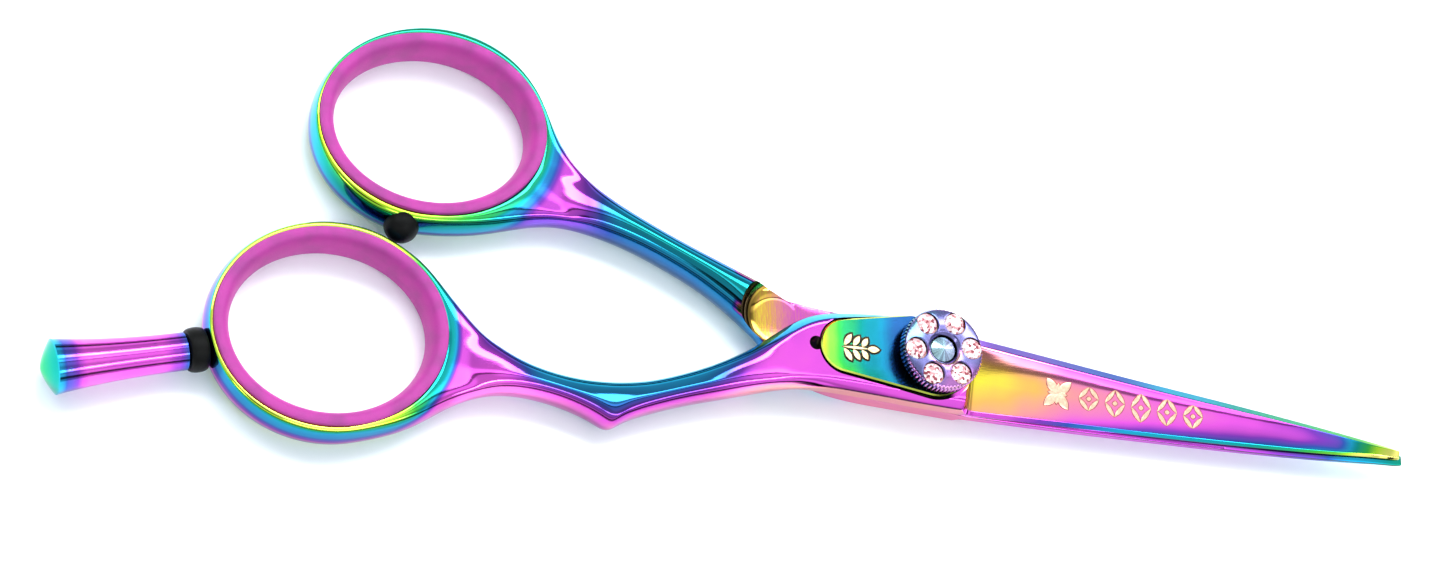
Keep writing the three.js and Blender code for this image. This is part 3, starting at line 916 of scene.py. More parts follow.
def shank_profile(side: Side) -> Profile:
    """The rounded profile along a shank.

    Args:
        side: which way the half's outer face points.

    Returns:
        The profile.
    """
    ring = ring_profile(side)
    return replace(
        ring, crest_u=ring.crest_u - 0.1, crest_l=ring.crest_l + 0.05, mid_u=0.0, mid_l=0.0,
        inner=ring.inner - 0.1, round_u=1.5, round_l=1.9, round_in=1.7,
    )


def neck_profile(side: Side) -> Profile:
    """Where a shank runs into its pivot plate."""
    return Profile(2.45, 2.45, 0.2, 0.2, shank_profile(side).inner, 1.5, 1.2, 1.4)


BOSS = Profile(2.65, 2.65, 1.5, 2.0, FACE_GAP, 0.95, 1.0, 0.08, 0.9)
BLADE_HEEL = Profile(1.95, 0.85, 1.1, 0.55, FACE_GAP, 1.1, 0.45, 0.05, 1.0)
BLADE_MIDDLE = Profile(1.5, 0.62, 0.85, 0.4, FACE_GAP, 0.95, 0.4, 0.05, 1.0)
BLADE_TIP = Profile(0.95, 0.5, 0.5, 0.32, FACE_GAP, 0.55, 0.3, 0.05, 1.0)
BLADE_END = Profile(0.6, 0.4, 0.3, 0.16, FACE_GAP, 0.2, 0.2, 0.05, 1.0)


@dataclass(frozen=True)
class Station:
    """One crossing of a half: a point on each edge, the profile there, and how sharp the step is.

    The roll is how far the outer face bulges near the upper edge, and roll_at is where, as a share of its
    width.
    """

    upper: Point
    lower: Point
    profile: Profile
    step: float = 0.0
    roll: float = 0.0
    roll_at: float = 0.3


@dataclass
class HalfCage:
    """The cage of one half, which subdivision smooths: a ring, its web, and lofted stations.

    web_upper and web_lower are outline points between the ring and the first station; the ring's own
    outline runs from ring_from to ring_to, in degrees about its centre.
    """

    name: str
    side: Side
    ring: Ring
    web_upper: list[Point]
    web_lower: list[Point]
    ring_from: float
    ring_to: float
    stations: list[Station]
    spans: int = 4
    ring_step: float = 11.0
    levels: int = 3
    shell: Shell = field(default_factory=Shell)
    loops: list[list[int]] = field(default_factory=list)

    def lift(self, height: float) -> float:
        """Z of a height above the ride plane."""
        return FACE_Z + self.side.value * height

    def crossing(self, station: Station) -> list[int]:
        """Adds a station's closed loop of points.

        Args:
            station: the crossing.

        Returns:
            The points over the outer face from the upper to the lower edge, then back along the inner face.
        """
        p = station.profile
        upper, lower = Vector(station.upper), Vector(station.lower)
        width = (lower - upper).length
        across = (lower - upper) / width
        round_u, round_l, round_in = (min(r, 0.4 * width) for r in (p.round_u, p.round_l, p.round_in))
        bulge = 0.1 * (1 - p.flat)
        near = 0.2 + 0.3 * p.flat

        def place(step: float, height: float) -> int:
            """A point at a distance from the upper edge."""
            spot = upper + across * step
            return self.shell.point(spot.x, spot.y, self.lift(height))

        def shoulder(mid: float, crest: float) -> float:
            """The height of the point that shapes an edge."""
            return mid + (crest - mid) * (0.82 - 0.32 * p.flat)

        loop = [place(-bulge * round_u, p.mid_u)]
        loop.append(place(near * round_u, shoulder(p.mid_u, p.crest_u)))
        inner_width = width - round_u - round_l
        middle = station.roll_at if station.roll else 0.5
        for share, roll in ((0.0, 0.0), (middle, station.roll), (1.0, 0.0)):
            height = p.crest_u + (p.crest_l - p.crest_u) * share + roll
            loop.append(place(round_u + inner_width * share, height))
        loop.append(place(width - near * round_l, shoulder(p.mid_l, p.crest_l)))
        loop.append(place(width + bulge * round_l, p.mid_l))
        loop.append(place(width - near * round_in, shoulder(p.mid_l, p.inner)))
        for share in (0.0, 0.5, 1.0):
            loop.append(place(width - round_in - (width - 2 * round_in) * share, p.inner))
        loop.append(place(near * round_in, shoulder(p.mid_u, p.inner)))
        return loop

    def column(self, bearing: float, reach: float | None) -> list[int]:
        """Adds one section of the ring.

        Args:
            bearing: its angle about the ring's centre, in radians.
            reach: how far its outer edge is from the centre, or None where the shank takes over.

        Returns:
            The points from the inner wall over the top: wall, lip, crest and field, then shoulder, middle and
            lower shoulder where there is an outer edge, then the same on the underside.
        """
        lip = self.ring.lip_reach(bearing)
        outer = self.open_reach(bearing) if reach is None else reach
        field_at = lip + 0.5 * (outer - lip)
        dish = 0.11 * max(0.0, outer - lip - 1.5)
        wall = self.ring.lip_reach(bearing, 1.05)

        def place(distance: float, height: float) -> int:
            """A point at a distance from the centre."""
            x, y = self.ring.at(bearing, distance)
            return self.shell.point(x, y, height)

        inset = min(0.45, 0.35 * (outer - lip))
        face = [(lip - 0.25, 0.45), (lip + 0.1, 0.02), (field_at, 0.06 + dish)]
        if reach is not None:
            face.append((outer - inset, 0.55))
        points = [place(wall, RING_MID_Z), *[place(spot, RING_TOP_Z - depth) for spot, depth in face]]
        if reach is not None:
            points.append(place(outer + 0.45 * inset, RING_MID_Z))
        return points + [place(spot, RING_BOTTOM_Z + depth) for spot, depth in reversed(face)]

    def open_reach(self, bearing: float) -> float:
        """Where the first station crosses a ray from the ring's centre.

        Args:
            bearing: the ray's angle in radians.

        Returns:
            The distance from the centre.
        """
        centre = Vector(self.ring.centre)
        upper, lower = (Vector(p) - centre for p in (self.stations[0].upper, self.stations[0].lower))
        along = lower - upper
        heading = Vector((math.cos(bearing), math.sin(bearing)))
        return (upper.x * along.y - upper.y * along.x) / (heading.x * along.y - heading.y * along.x)

    def bearing(self, point: Point) -> float:
        """A plan point's angle about the ring's centre."""
        return math.atan2(point[1] - self.ring.centre[1], point[0] - self.ring.centre[0])

    def reach(self, point: Point) -> float:
        """A plan point's distance from the ring's centre."""
        return math.dist(point, self.ring.centre)

    def build(self) -> bpy.types.Object:
        """Makes the subdivided half.

        Returns:
            The object, with its subdivision applied.
        """
        first = self.stations[0]
        outline = [(self.bearing(p), self.reach(p)) for p in self.web_upper]
        count = round((self.ring_to - self.ring_from) / self.ring_step)
        for i in range(count + 1):
            turn = math.radians(self.ring_from + (self.ring_to - self.ring_from) * i / count)
            outline.append((turn, self.ring.outer_reach(turn)))
        outline += [(self.bearing(p), self.reach(p)) for p in self.web_lower]
        start = self.column(self.bearing(first.upper), self.reach(first.upper))
        middle = [self.column(*spot) for spot in outline]
        end = self.column(self.bearing(first.lower), self.reach(first.lower))
        columns = [start, *middle, end]
        for one, other in zip(columns, columns[1:]):
            self.shell.strip(one, other, closed=True)
        self.open_side(start, end)
        self.cap_tip()
        thing = self.shell.build(self.name)
        step = thing.modifiers.new("smooth", "SUBSURF")
        step.levels = step.render_levels = self.levels
        return frozen(thing, 40.0)

    def open_side(self, start: list[int], end: list[int]) -> None:
        """Joins the ring's open side to the shank and lofts the stations.

        Args:
            start: the full column at the upper edge of the opening.
            end: the full column at the lower edge.
        """
        first = self.stations[0]
        high, low = self.bearing(first.upper), self.bearing(first.lower)
        inner = [self.column(high + (low - high) * i / self.spans, None) for i in range(1, self.spans)]
        tops = [start[:4], *[c[:4] for c in inner], end[:4]]
        unders = [start[7:], *[c[4:] for c in inner], end[7:]]
        first_loop = self.first_loop(start, end)
        across_top = first_loop[1 : self.spans + 2]
        across_under = [first_loop[-1], *first_loop[-2 : self.spans + 3 : -1], first_loop[self.spans + 3]]
        if self.side is Side.DOWN:
            across_top, across_under = across_under, across_top
        for i in range(self.spans):
            self.shell.strip(tops[i], tops[i + 1])
            self.shell.strip(unders[i], unders[i + 1])
            self.shell.face(tops[i][0], tops[i + 1][0], unders[i + 1][2], unders[i][2])
            self.shell.face(tops[i][3], tops[i + 1][3], across_top[i + 1], across_top[i])
            self.shell.face(unders[i][0], unders[i + 1][0], across_under[i + 1], across_under[i])
        self.loops = [first_loop, *[self.crossing(s) for s in self.stations[1:]]]
        for one, other in zip(self.loops, self.loops[1:]):
            self.shell.strip(one, other, closed=True)
        self.crease_lines()

    def first_loop(self, start: list[int], end: list[int]) -> list[int]:
        """The loop that the ring and the shank share.

        Args:
            start: the full column at the upper edge.
            end: the full column at the lower edge.

        Returns:
            The loop, made of points from both columns and new points between them.
        """
        loop = self.crossing(self.stations[0])
        top_u, mid_u, under_u = start[4:7]
        top_l, mid_l, under_l = end[4:7]
        outer_u, inner_u = (top_u, under_u) if self.side is Side.UP else (under_u, top_u)
        outer_l, inner_l = (top_l, under_l) if self.side is Side.UP else (under_l, top_l)
        last = self.spans + 1
        loop[0], loop[1], loop[-1] = mid_u, outer_u, inner_u
        loop[last], loop[last + 1], loop[last + 2] = outer_l, mid_l, inner_l
        return loop

    def crease_lines(self) -> None:
        """Creases the bevel lines along the plate and blade, and round each sharp step."""
        last = self.spans + 1
        lines = [0, 2, last - 1, last + 1, last + 3, 2 * self.spans + 2]
        for index in range(1, len(self.loops)):
            amount = min(self.stations[index - 1].profile.flat, self.stations[index].profile.flat)
            if amount > 0:
                for line in lines:
                    pair = [self.loops[index - 1][line], self.loops[index][line]]
                    self.shell.crease(pair, 0.95 * amount)
            step = self.stations[index].step
            if index == len(self.loops) - 1:
                self.shell.crease(self.loops[index], step, closed=True)
            elif step > 0:
                self.shell.crease(self.loops[index][: last + 2], step)

    def cap_tip(self) -> None:
        """Closes the last station with a row of quads."""
        loop = self.loops[-1]
        half = len(loop) // 2
        self.shell.face(loop[0], loop[1], loop[-1])
        for i in range(1, half - 1):
            self.shell.face(loop[i], loop[i + 1], loop[-1 - i], loop[-i])
        self.shell.face(loop[half - 1], loop[half], loop[half + 1])


FINGER_RING = Ring((-67.6, -3.65), (13.25, 12.2), 8.0, (12.35, 10.9))
THUMB_RING = Ring((-57.45, 20.55), (13.4, 11.95), 15.0, (12.5, 10.5))


def finger_stations() -> list[Station]:
    """The finger half from its ring to the tip.

    Returns:
        Its stations in order.
    """
    shank, neck = shank_profile(Side.UP), neck_profile(Side.UP)
    return [
        Station((-50.0, -3.1), (-50.8, -8.85), ring_profile(Side.UP)),
        Station((-47.1, -4.8), (-47.6, -8.4), shank),
        Station((-43.6, -5.85), (-43.6, -8.85), shank),
        Station((-40.6, -6.2), (-40.4, -9.8), shank),
        Station((-38.6, -6.25), (-38.3, -10.75), shank),
        Station((-36.9, -6.2), (-36.9, -11.65), shank),
        Station((-35.2, -6.05), (-35.5, -10.4), shank),
        Station((-32.6, -5.65), (-32.2, -9.05), shank),
        Station((-29.6, -4.7), (-28.4, -7.75), shank),
        Station((-26.4, -3.5), (-24.6, -6.75), shank),
        Station((-23.3, -2.1), (-20.8, -5.75), neck),
        Station((-20.4, -0.4), (-17.4, -5.1), neck.blend(BOSS, 0.5)),
        Station((-17.6, 1.65), (-14.4, -4.85), neck.blend(BOSS, 0.85)),
        Station((-15.2, 3.15), (-11.8, -4.8), BOSS),
        Station((-12.6, 4.0), (-9.4, -4.95), BOSS),
        Station((-9.0, 4.35), (-6.6, -5.15), BOSS),
        Station((-4.0, 4.6), (-3.0, -5.45), BOSS),
        Station((1.5, 4.4), (1.2, -5.75), BOSS),
        Station((4.6, 3.6), (3.35, -5.85), BOSS, 0.9),
        Station((5.5, 3.12), (4.25, -5.88), BLADE_HEEL, 0.35),
        Station((9.0, 2.65), (8.5, -5.95), BLADE_HEEL, roll=0.22),
        Station((17.2, 1.45), (17.2, -6.05), BLADE_HEEL, roll=0.22),
        Station((26.0, 0.25), (26.0, -6.15), BLADE_MIDDLE, roll=0.22),
        Station((35.0, -0.95), (35.0, -6.2), BLADE_MIDDLE, roll=0.22),
        Station((44.1, -2.2), (44.1, -6.15), BLADE_MIDDLE.blend(BLADE_TIP, 0.5), roll=0.13),
        Station((51.5, -3.3), (51.5, -6.0), BLADE_TIP),
        Station((56.5, -4.15), (56.5, -5.8), BLADE_TIP),
        Station((59.0, -4.5), (59.0, -5.85), BLADE_END),
        Station((59.7, -4.7), (59.7, -5.75), BLADE_END, 0.85),
    ]


def thumb_stations() -> list[Station]:
    """The thumb half from its ring to the tip.

    Returns:
        Its stations in order.
    """
    shank, neck = shank_profile(Side.DOWN), neck_profile(Side.DOWN)
    heel, middle, tip = BLADE_HEEL.swapped(), BLADE_MIDDLE.swapped(), BLADE_TIP.swapped()
    return [
        Station((-38.65, 15.8), (-40.5, 11.2), ring_profile(Side.DOWN)),
        Station((-36.0, 14.2), (-37.7, 10.5), shank),
        Station((-33.0, 12.65), (-34.5, 9.55), shank),
        Station((-29.9, 11.15), (-31.4, 8.25), shank),
        Station((-25.9, 9.5), (-27.6, 6.4), shank),
        Station((-22.6, 8.2), (-24.8, 4.6), shank),
        Station((-19.9, 7.05), (-22.3, 2.75), neck),
        Station((-17.6, 6.1), (-20.1, 0.95), neck),
        Station((-16.9, 5.85), (-19.4, 0.35), BOSS),
        Station((-14.2, 5.2), (-16.9, -2.2), BOSS),
        Station((-10.0, 4.75), (-12.6, -4.45), BOSS),
        Station((-5.0, 4.5), (-6.6, -5.1), BOSS),
        Station((0.0, 4.3), (0.0, -5.5), BOSS),
        Station((4.3, 3.4), (3.7, -5.8), BOSS, 0.9),
        Station((4.7, 3.1), (4.1, -5.9), heel, 0.8),
        Station((9.5, 1.95), (9.5, -6.05), heel),
        Station((18.0, 0.85), (18.0, -6.3), heel),
        Station((27.0, -0.4), (27.0, -6.5), middle),
        Station((36.0, -1.6), (36.0, -6.65), middle),
        Station((45.0, -2.85), (45.0, -6.7), middle.blend(tip, 0.5)),
        Station((53.0, -4.0), (53.0, -6.6), tip),
        Station((57.6, -4.75), (57.6, -6.45), tip),
        Station((59.6, -5.0), (59.6, -6.5), BLADE_END.swapped()),
        Station((60.2, -5.2), (60.2, -6.35), BLADE_END.swapped(), 0.85),
    ]


@dataclass(frozen=True)
class Scoop:
    """A round scoop that thins a shank at its boss: its plan circle, and its hollow wall's radius."""

    centre: Point
    rim: float
    rise: float
    side: Side
    depth: float = 4.0

    def cutter(self) -> bpy.types.Object:
        """Turns the cutter.

        Returns:
            The cutter, in place.
        """
        away = -self.side.value
        profile: list[Point] = [(0.0, 0.0)]
        for i in range(13):
            angle = math.radians(90 * i / 12)
            reach = self.rim - self.rise * (1 - math.sin(angle))
            profile.append((reach, away * self.rise * (1 - math.cos(angle))))
        profile += [(self.rim, away * self.depth), (0.0, away * self.depth)]
        thing = lathe("scoop_cutter", profile)
        return shift(thing, *self.centre, FACE_Z + self.side.value * FACE_GAP)


@dataclass(frozen=True)
class TensionPlate:
    """The inlaid plate: a round head about the pivot drawn out to a narrower round tip.

    gap is the room round it in its pocket, shift_y moves it off the pocket's middle, notch is the x and
    radius of the half-round cut at the pocket's tip, and trim is how far it stays inside the boss's upper
    edge.
    """

    low: float = 4.8
    high: float = 5.64
    pocket: float = 4.75
    gap: float = 0.3
    tip_x: float = -13.5
    tip_r: float = 3.05
    head_r: float = 4.8
    shift_y: float = 0.12
    notch: Point = (-14.1, 0.8)
    bevel: float = 0.16
    trim: float = 0.18
    steps: int = 40

    def outline(self, grow: float) -> list[Point]:
        """Draws the plate's plan.

        Args:
            grow: a margin added all round.

        Returns:
            The points round the head, then round the tip.
        """
        head, tip = self.head_r + grow, self.tip_r + grow
        tip_x = self.tip_x + self.tip_r
        lean = math.acos((head - tip) / -tip_x)
        points = []
        arcs = ((0.0, head, math.pi - lean, 0.0), (tip_x, tip, lean, math.pi))
        for middle, radius, half_turn, facing in arcs:
            for i in range(self.steps + 1):
                turn = facing - half_turn + 2 * half_turn * i / self.steps
                points.append((middle + radius * math.cos(turn), radius * math.sin(turn)))
        return points

    def cutters(self) -> list[bpy.types.Object]:
        """The pocket and the half-round notch at its tip."""
        pocket = prism("pocket_cutter", self.outline(self.gap), self.pocket, ABOVE_ALL)
        notch = prism("notch_cutter", disc((self.notch[0], 0.0), self.notch[1]), self.pocket, ABOVE_ALL)
        return [pocket, notch]

    def build(self, finish: bpy.types.Material) -> bpy.types.Object:
        """Makes the plate with a light chamfer, trims it to the boss and mounts it.

        Args:
            finish: its material.

        Returns:
            The plate.
        """
        shell = Shell()
        rows = []
        for grow, height in ((0, self.low), (0, self.high - self.bevel), (-self.bevel, self.high)):
            rows.append([shell.point(x, y + self.shift_y, height) for x, y in self.outline(grow)])
        for first, second in zip(rows, rows[1:]):
            shell.strip(first, second, closed=True)
        shell.face(*rows[0])
        shell.face(*rows[-1])
        piece = shell.build("tension_plate_inlay")
        edge = [s.upper for s in finger_stations() if -21.0 < s.upper[0] < 5.0]
        beyond = [(x, y - self.trim) for x, y in edge] + [(5.0, 9.0), (-21.0, 9.0)]
        outside = prism("trim_cutter", beyond, self.pocket - 0.75, ABOVE_ALL)
        cut(piece, [outside, prism("bore_cutter", disc((0, 0), BORE_R), BELOW_ALL, ABOVE_ALL)])
        mount(piece, Body.FINGER, "green_coated_steel", finish, "tension_plate")
        return piece


@dataclass(frozen=True)
class Teeth:
    """The comb of the under blade: slots with round roots that open through its +Y edge.

    land is how far the first root stays from the blade's other edge, and taper how much less per millimetre
    after.
    """

    count: int = 28
    first: float = 12.4
    pitch: float = 1.6
    slot: float = 0.8
    land: float = 2.6
    taper: float = 0.022
    beyond: float = 6.0

    def cutter(self) -> bpy.types.Object:
        """Makes all the slots as one object.

        Returns:
            The cutter, in place.
        """
        gaps = []
        half = self.slot / 2
        for i in range(self.count):
            x = self.first + i * self.pitch
            edge = -6.15 - 0.012 * (x - 5)
            root = edge + self.land - self.taper * (x - self.first)
            turns = [math.radians(180 + 180 * k / 8) for k in range(9)]
            arc = [(x + half * math.cos(a), root + half + half * math.sin(a)) for a in turns]
            outline = [(x - half, self.beyond), *arc, (x + half, self.beyond)]
            gaps.append(prism(f"gap_{i}", outline, BELOW_ALL, ABOVE_ALL))
        return joined("gap_cutter", gaps)


class HalfCoat:
    """The rainbow coat of one half, whose film phase follows its ring, web, shank, boss and blade.

    Each stretch has a phase of its own, and they blend along X. Limits on x, y and z are millimetres, and
    limits on nx, ny and nz are parts of the surface's normal.
    """

    def __init__(self, name: str, ring: Ring) -> None:
        """Starts the coat.

        Args:
            name: the material's name.
            ring: the half's ring.
        """
        self.coat = RainbowCoat(name)
        self.graph = self.coat.begin()
        self.ring = ring

    def ring_distance(self) -> Value:
        """Measures from the ring's centre.

        Returns:
            The distance, stretched across the ring's width so that its oval is a circle.
        """
        graph = self.graph
        dx = graph.x - self.ring.centre[0]
        dy = (graph.y - self.ring.centre[1]) * (self.ring.outer[0] / self.ring.outer[1])
        return (dx * dx + dy * dy).root()

    def tilt(self, positive: float, negative: float) -> Value:
        """A phase shift by how far the surface leans: times one factor to +Y, the other to -Y."""
        return self.graph.ny.at_least(0.0) * positive + self.graph.ny.at_most(0.0) * negative

    def blade_phase(self, stops: list[Point], spine: list[Point]) -> Value:
        """The phase along the finger blade.

        Args:
            stops: place along the blade and phase, on its broad face.
            spine: the same along its bevelled back.

        Returns:
            The phase, turned further on the cutting bevel.
        """
        graph = self.graph
        turned = graph.ny.rise(-0.2, -0.6) * (0.14 + graph.x * 0.004)
        face = graph.curve(graph.x, 0.0, BLADE_END_X, stops) + turned
        face = face + graph.y.rise(-4.4, -5.9) * graph.x.rise(10.0, 30.0) * 0.12
        return face.towards(graph.curve(graph.x, 0.0, BLADE_END_X, spine), graph.ny.rise(0.2, 0.45))

    def seam_shadow(self) -> Value:
        """Paints the shadow in the seam between the two blades' edges.

        Returns:
            1 where the painted shadow is full.
        """
        graph = self.graph
        # painted shadow along the seam between the blades
        near = (graph.z - FACE_Z).size().rise(0.34, 0.2)
        return near * graph.nz.size().rise(0.5, 0.2) * graph.x.rise(5.0, 7.0) * graph.ny.rise(-0.3, -0.6)

    def ring_wall_shade(self, far: Value) -> Value:
        """How much painted shade darkens the ring's walls that face -Y, given the distance from the ring's
        centre.
        """
        return self.graph.ny.rise(-0.35, -0.75) * far.rise(16.0, 14.5) * 0.45

    def finger_blade(self) -> Value:
        """Colours the finger blade.

        Returns:
            The phase: gold at the heel, magenta along the middle and lime at the tip, by a curve on the
            broad face and one on the back, and spread towards the blade's edges.
        """
        graph = self.graph
        broad: list[Point] = [(4, 0.0), (8, 0.02), (12, 0.07), (18, 0.15), (28, 0.22)]
        broad += [(44, 0.27), (51, 0.33), (55, 0.54), (60, 0.9)]
        back: list[Point] = [(4, 0.38), (12, 0.4), (22, 0.45), (32, 0.58), (44, 0.7), (54, 0.76), (60, 0.95)]
        along = self.blade_phase(broad, back)
        across = (graph.y + 1.6 + graph.x * 0.07) * -0.25
        spread = across.size() * across.rise(-0.1, 0.1).towards(1.6, across.rise(-0.1, -0.7)) * 0.1
        edges = across.size() * graph.x.rise(38.0, 56.0) * 0.35
        return along + (spread * graph.x.rise(50.0, 30.0) + edges) * graph.ny.rise(0.45, 0.2)

    def finger_painted_shade(self, far: Value) -> Value:
        """Paints shade into the finger half's recesses and shaded places.

        Args:
            far: the distance from the ring's centre.

        Returns:
            How much painted shade darkens it, 0 to 1: in the plate's pocket, at the blades' seam, along the
            shank's shaded side, on the line where the boss's lower bevel ends, along the blade's back and
            under the ring.
        """
        graph = self.graph
        floor = TensionPlate().pocket
        # painted shade in the plate's pocket
        pocket = graph.z.rise(5.5, 5.3) * graph.nz.rise(0.95, 0.985) * graph.x.rise(3.0, 2.0)
        pocket = pocket * graph.z.rise(floor - 0.1, floor - 0.05) * graph.x.rise(-15.6, -15.2)
        shaded = graph.x.rise(-48.0, -40.0) * graph.x.rise(-21.0, -27.0) * graph.ny.rise(0.34, 0.14) * 0.4
        # painted shade: a dark line where the boss's lower bevel ends
        ledge = (graph.z - FACE_Z - BOSS.mid_l).size().rise(0.16, 0.06) * graph.ny.rise(-0.5, -0.65)
        ledge = ledge * graph.x.rise(-17.0, -15.0) * graph.x.rise(3.4, 3.1) * 0.8
        # painted shade along the blade's back
        spine = graph.ny.rise(0.2, 0.45) * graph.x.rise(5.0, 8.0) * 0.4
        return (pocket + self.seam_shadow() + shaded + ledge + spine + self.ring_wall_shade(far)).at_most(1.0)

    def make_finger(self) -> bpy.types.Material:
        """Builds the finger half's coat.

        Returns:
            The material.
        """
        graph = self.graph
        far = self.ring_distance()
        slope = 1 - graph.nz.size()
        toward_web = ((graph.x - self.ring.centre[0]) / self.ring.outer[0]).rise(0.35, 0.95)
        by_slope = [(0, 0.94), (0.28, 0.87), (0.5, 0.7), (0.68, 0.52), (0.84, 0.38), (1, 0.24)]
        ring = graph.curve(slope, 0.0, 1.0, by_slope) - toward_web * 0.3 * (1 - slope)
        web = 0.27 + self.tilt(0.3, 0.04)
        shank = 0.49 + self.tilt(0.14, 0.28)
        boss = 0.265 + self.tilt(0.42, 0.0) - graph.ny.rise(-0.7, -0.95) * 0.13
        phase = ring.towards(0.52, far.rise(12.9, 13.6) * graph.nz.rise(0.6, 0.95))
        phase = phase.towards(web, far.rise(13.2, 14.2))
        phase = phase.towards(shank, graph.x.rise(-50.0, -44.0))
        phase = phase.towards(boss, graph.x.rise(-27.0, -19.0))
        phase = phase.towards(self.finger_blade(), graph.x.rise(3.2, 4.6))
        return self.coat.complete(graph, phase, self.finger_painted_shade(far))

    def make_thumb(self) -> bpy.types.Material:
        """Builds the thumb half's coat, with gold streaks and a shadow in the hollow of its neck.

        Returns:
            The material.
        """
        graph = self.graph
        far = self.ring_distance()
        slope = 1 - graph.nz.size()
        centre_x, centre_y = self.ring.centre
        corner = (graph.x - centre_x) * -0.06 + (graph.y - centre_y) * -0.06
        ring = graph.curve(slope, 0.0, 1.0, [(0, 0.7), (0.5, 0.64), (0.75, 0.56), (1, 0.42)])
        ring = ring + corner.at_least(0.0) * 0.2 * (1 - slope)
        web = 0.29 + self.tilt(0.1, -0.1)
        shank = 0.64 + self.tilt(-0.27, 0.17)
        streaks = graph.noise(1.0, 3.0, graph.stretched((5.0, 0.7, 1.0)))
        neck = 0.04 + self.tilt(0.08, 0.0) + graph.x.rise(-20.0, -15.0) * 0.18 + (streaks - 0.5) * 0.16
        run = [(4, 0.2), (12, 0.27), (40, 0.31), (48, 0.4), (54, 0.56), (61, 0.68)]
        blade = graph.curve(graph.x, 0.0, BLADE_END_X, run) + self.tilt(0.1, 0.0)
        hollow = graph.z.rise(5.0, 4.6) * graph.nz.rise(0.2, 0.4) * graph.x.rise(-23.5, -22.5)
        flank = graph.ny.rise(-0.5, -0.8) * graph.x.rise(-17.0, -15.0) * graph.x.rise(9.0, 3.0)
        phase = ring.towards(0.5, far.rise(12.9, 13.8) * graph.nz.rise(0.6, 0.95))
        phase = phase.towards(web, far.rise(13.8, 15.4))
        phase = phase.towards(shank, graph.x.rise(-42.0, -35.0))
        phase = phase.towards(neck, hollow)
        phase = phase.towards(blade, graph.x.rise(-12.0, -8.0))
        phase = phase.towards(0.17, flank)
        # painted shadow in the neck's hollow, and painted shade on the shank's shaded side, at the seam and
        # under the ring
        shadow = hollow * (graph.x.rise(-19.6, -21.4) * 0.68 + 0.25)
        shaded = graph.x.rise(-42.0, -36.0) * graph.x.rise(-20.5, -22.5) * graph.ny.rise(0.34, 0.14)
        painted_dark = shadow + shaded * (1 - hollow) * 0.45 + self.seam_shadow() + self.ring_wall_shade(far)
        return self.coat.complete(graph, phase, painted_dark.at_most(1.0))


@dataclass(frozen=True)
class FingerHalf:
    """The top half: plain blade, boss with the plate's pocket, spurred shank and finger ring."""

    scoop: Scoop = Scoop((-15.2, -0.4), 6.6, 2.6, Side.UP)

    def build(self, finish: bpy.types.Material) -> bpy.types.Object:
        """Makes and mounts the half.

        Args:
            finish: its material.

        Returns:
            The half.
        """
        cage = HalfCage(
            name="finger_blade_coated",
            side=Side.UP,
            ring=FINGER_RING,
            web_upper=[(-51.4, -2.05), (-53.65, 0.35), (-55.85, 2.95), (-58.1, 5.35)],
            web_lower=[(-59.8, -14.05), (-56.7, -12.2), (-54.2, -10.4)],
            ring_from=62.0,
            ring_to=284.0,
            stations=finger_stations(),
        )
        piece = cage.build()
        cutters = [self.scoop.cutter(), *TensionPlate().cutters()]
        cutters.append(prism("bore_cutter", disc((0, 0), BORE_R), BELOW_ALL, ABOVE_ALL))
        cutters.append(prism("seat_cutter", disc((0, 0), SEAT_R), BELOW_ALL, FACE_Z + SEAT_DEPTH))
        cut(piece, cutters)
        mount(piece, Body.FINGER, "rainbow_coated_steel", finish, "finger_blade")
        return piece


@dataclass(frozen=True)
class ThumbHalf:
    """The under half: toothed blade, boss, scooped neck, shank and thumb ring.

    head_seat is the radius and height of the recess for the screw's head.
    """

    head_seat: Point = (3.4, 1.12)
    scoop: Scoop = Scoop((-17.8, 3.1), 4.9, 2.6, Side.DOWN)

    def build(self, finish: bpy.types.Material) -> None:
        """Makes and mounts the half.

        Args:
            finish: its material.
        """
        cage = HalfCage(
            name="thumb_blade_coated",
            side=Side.DOWN,
            ring=THUMB_RING,
            web_upper=[(-41.4, 18.25), (-43.1, 21.0), (-44.2, 23.55), (-45.35, 26.2)],
            web_lower=[(-54.4, 8.75), (-50.8, 9.4), (-47.0, 10.6), (-43.6, 11.35)],
            ring_from=38.0,
            ring_to=265.0,
            stations=thumb_stations(),
        )
        piece = cage.build()
        cutters = [self.scoop.cutter(), Teeth().cutter()]
        cutters.append(prism("bore_cutter", disc((0, 0), BORE_R), BELOW_ALL, ABOVE_ALL))
        cutters.append(prism("seat_cutter", disc((0, 0), SEAT_R), FACE_Z - SEAT_DEPTH, ABOVE_ALL))
        cutters.append(prism("head_cutter", disc((0, 0), self.head_seat[0]), BELOW_ALL, self.head_seat[1]))
        cut(piece, cutters)
        mount(piece, Body.THUMB, "rainbow_coated_steel", finish, "thumb_blade")


# ---------------------------------------------------------------- small pieces


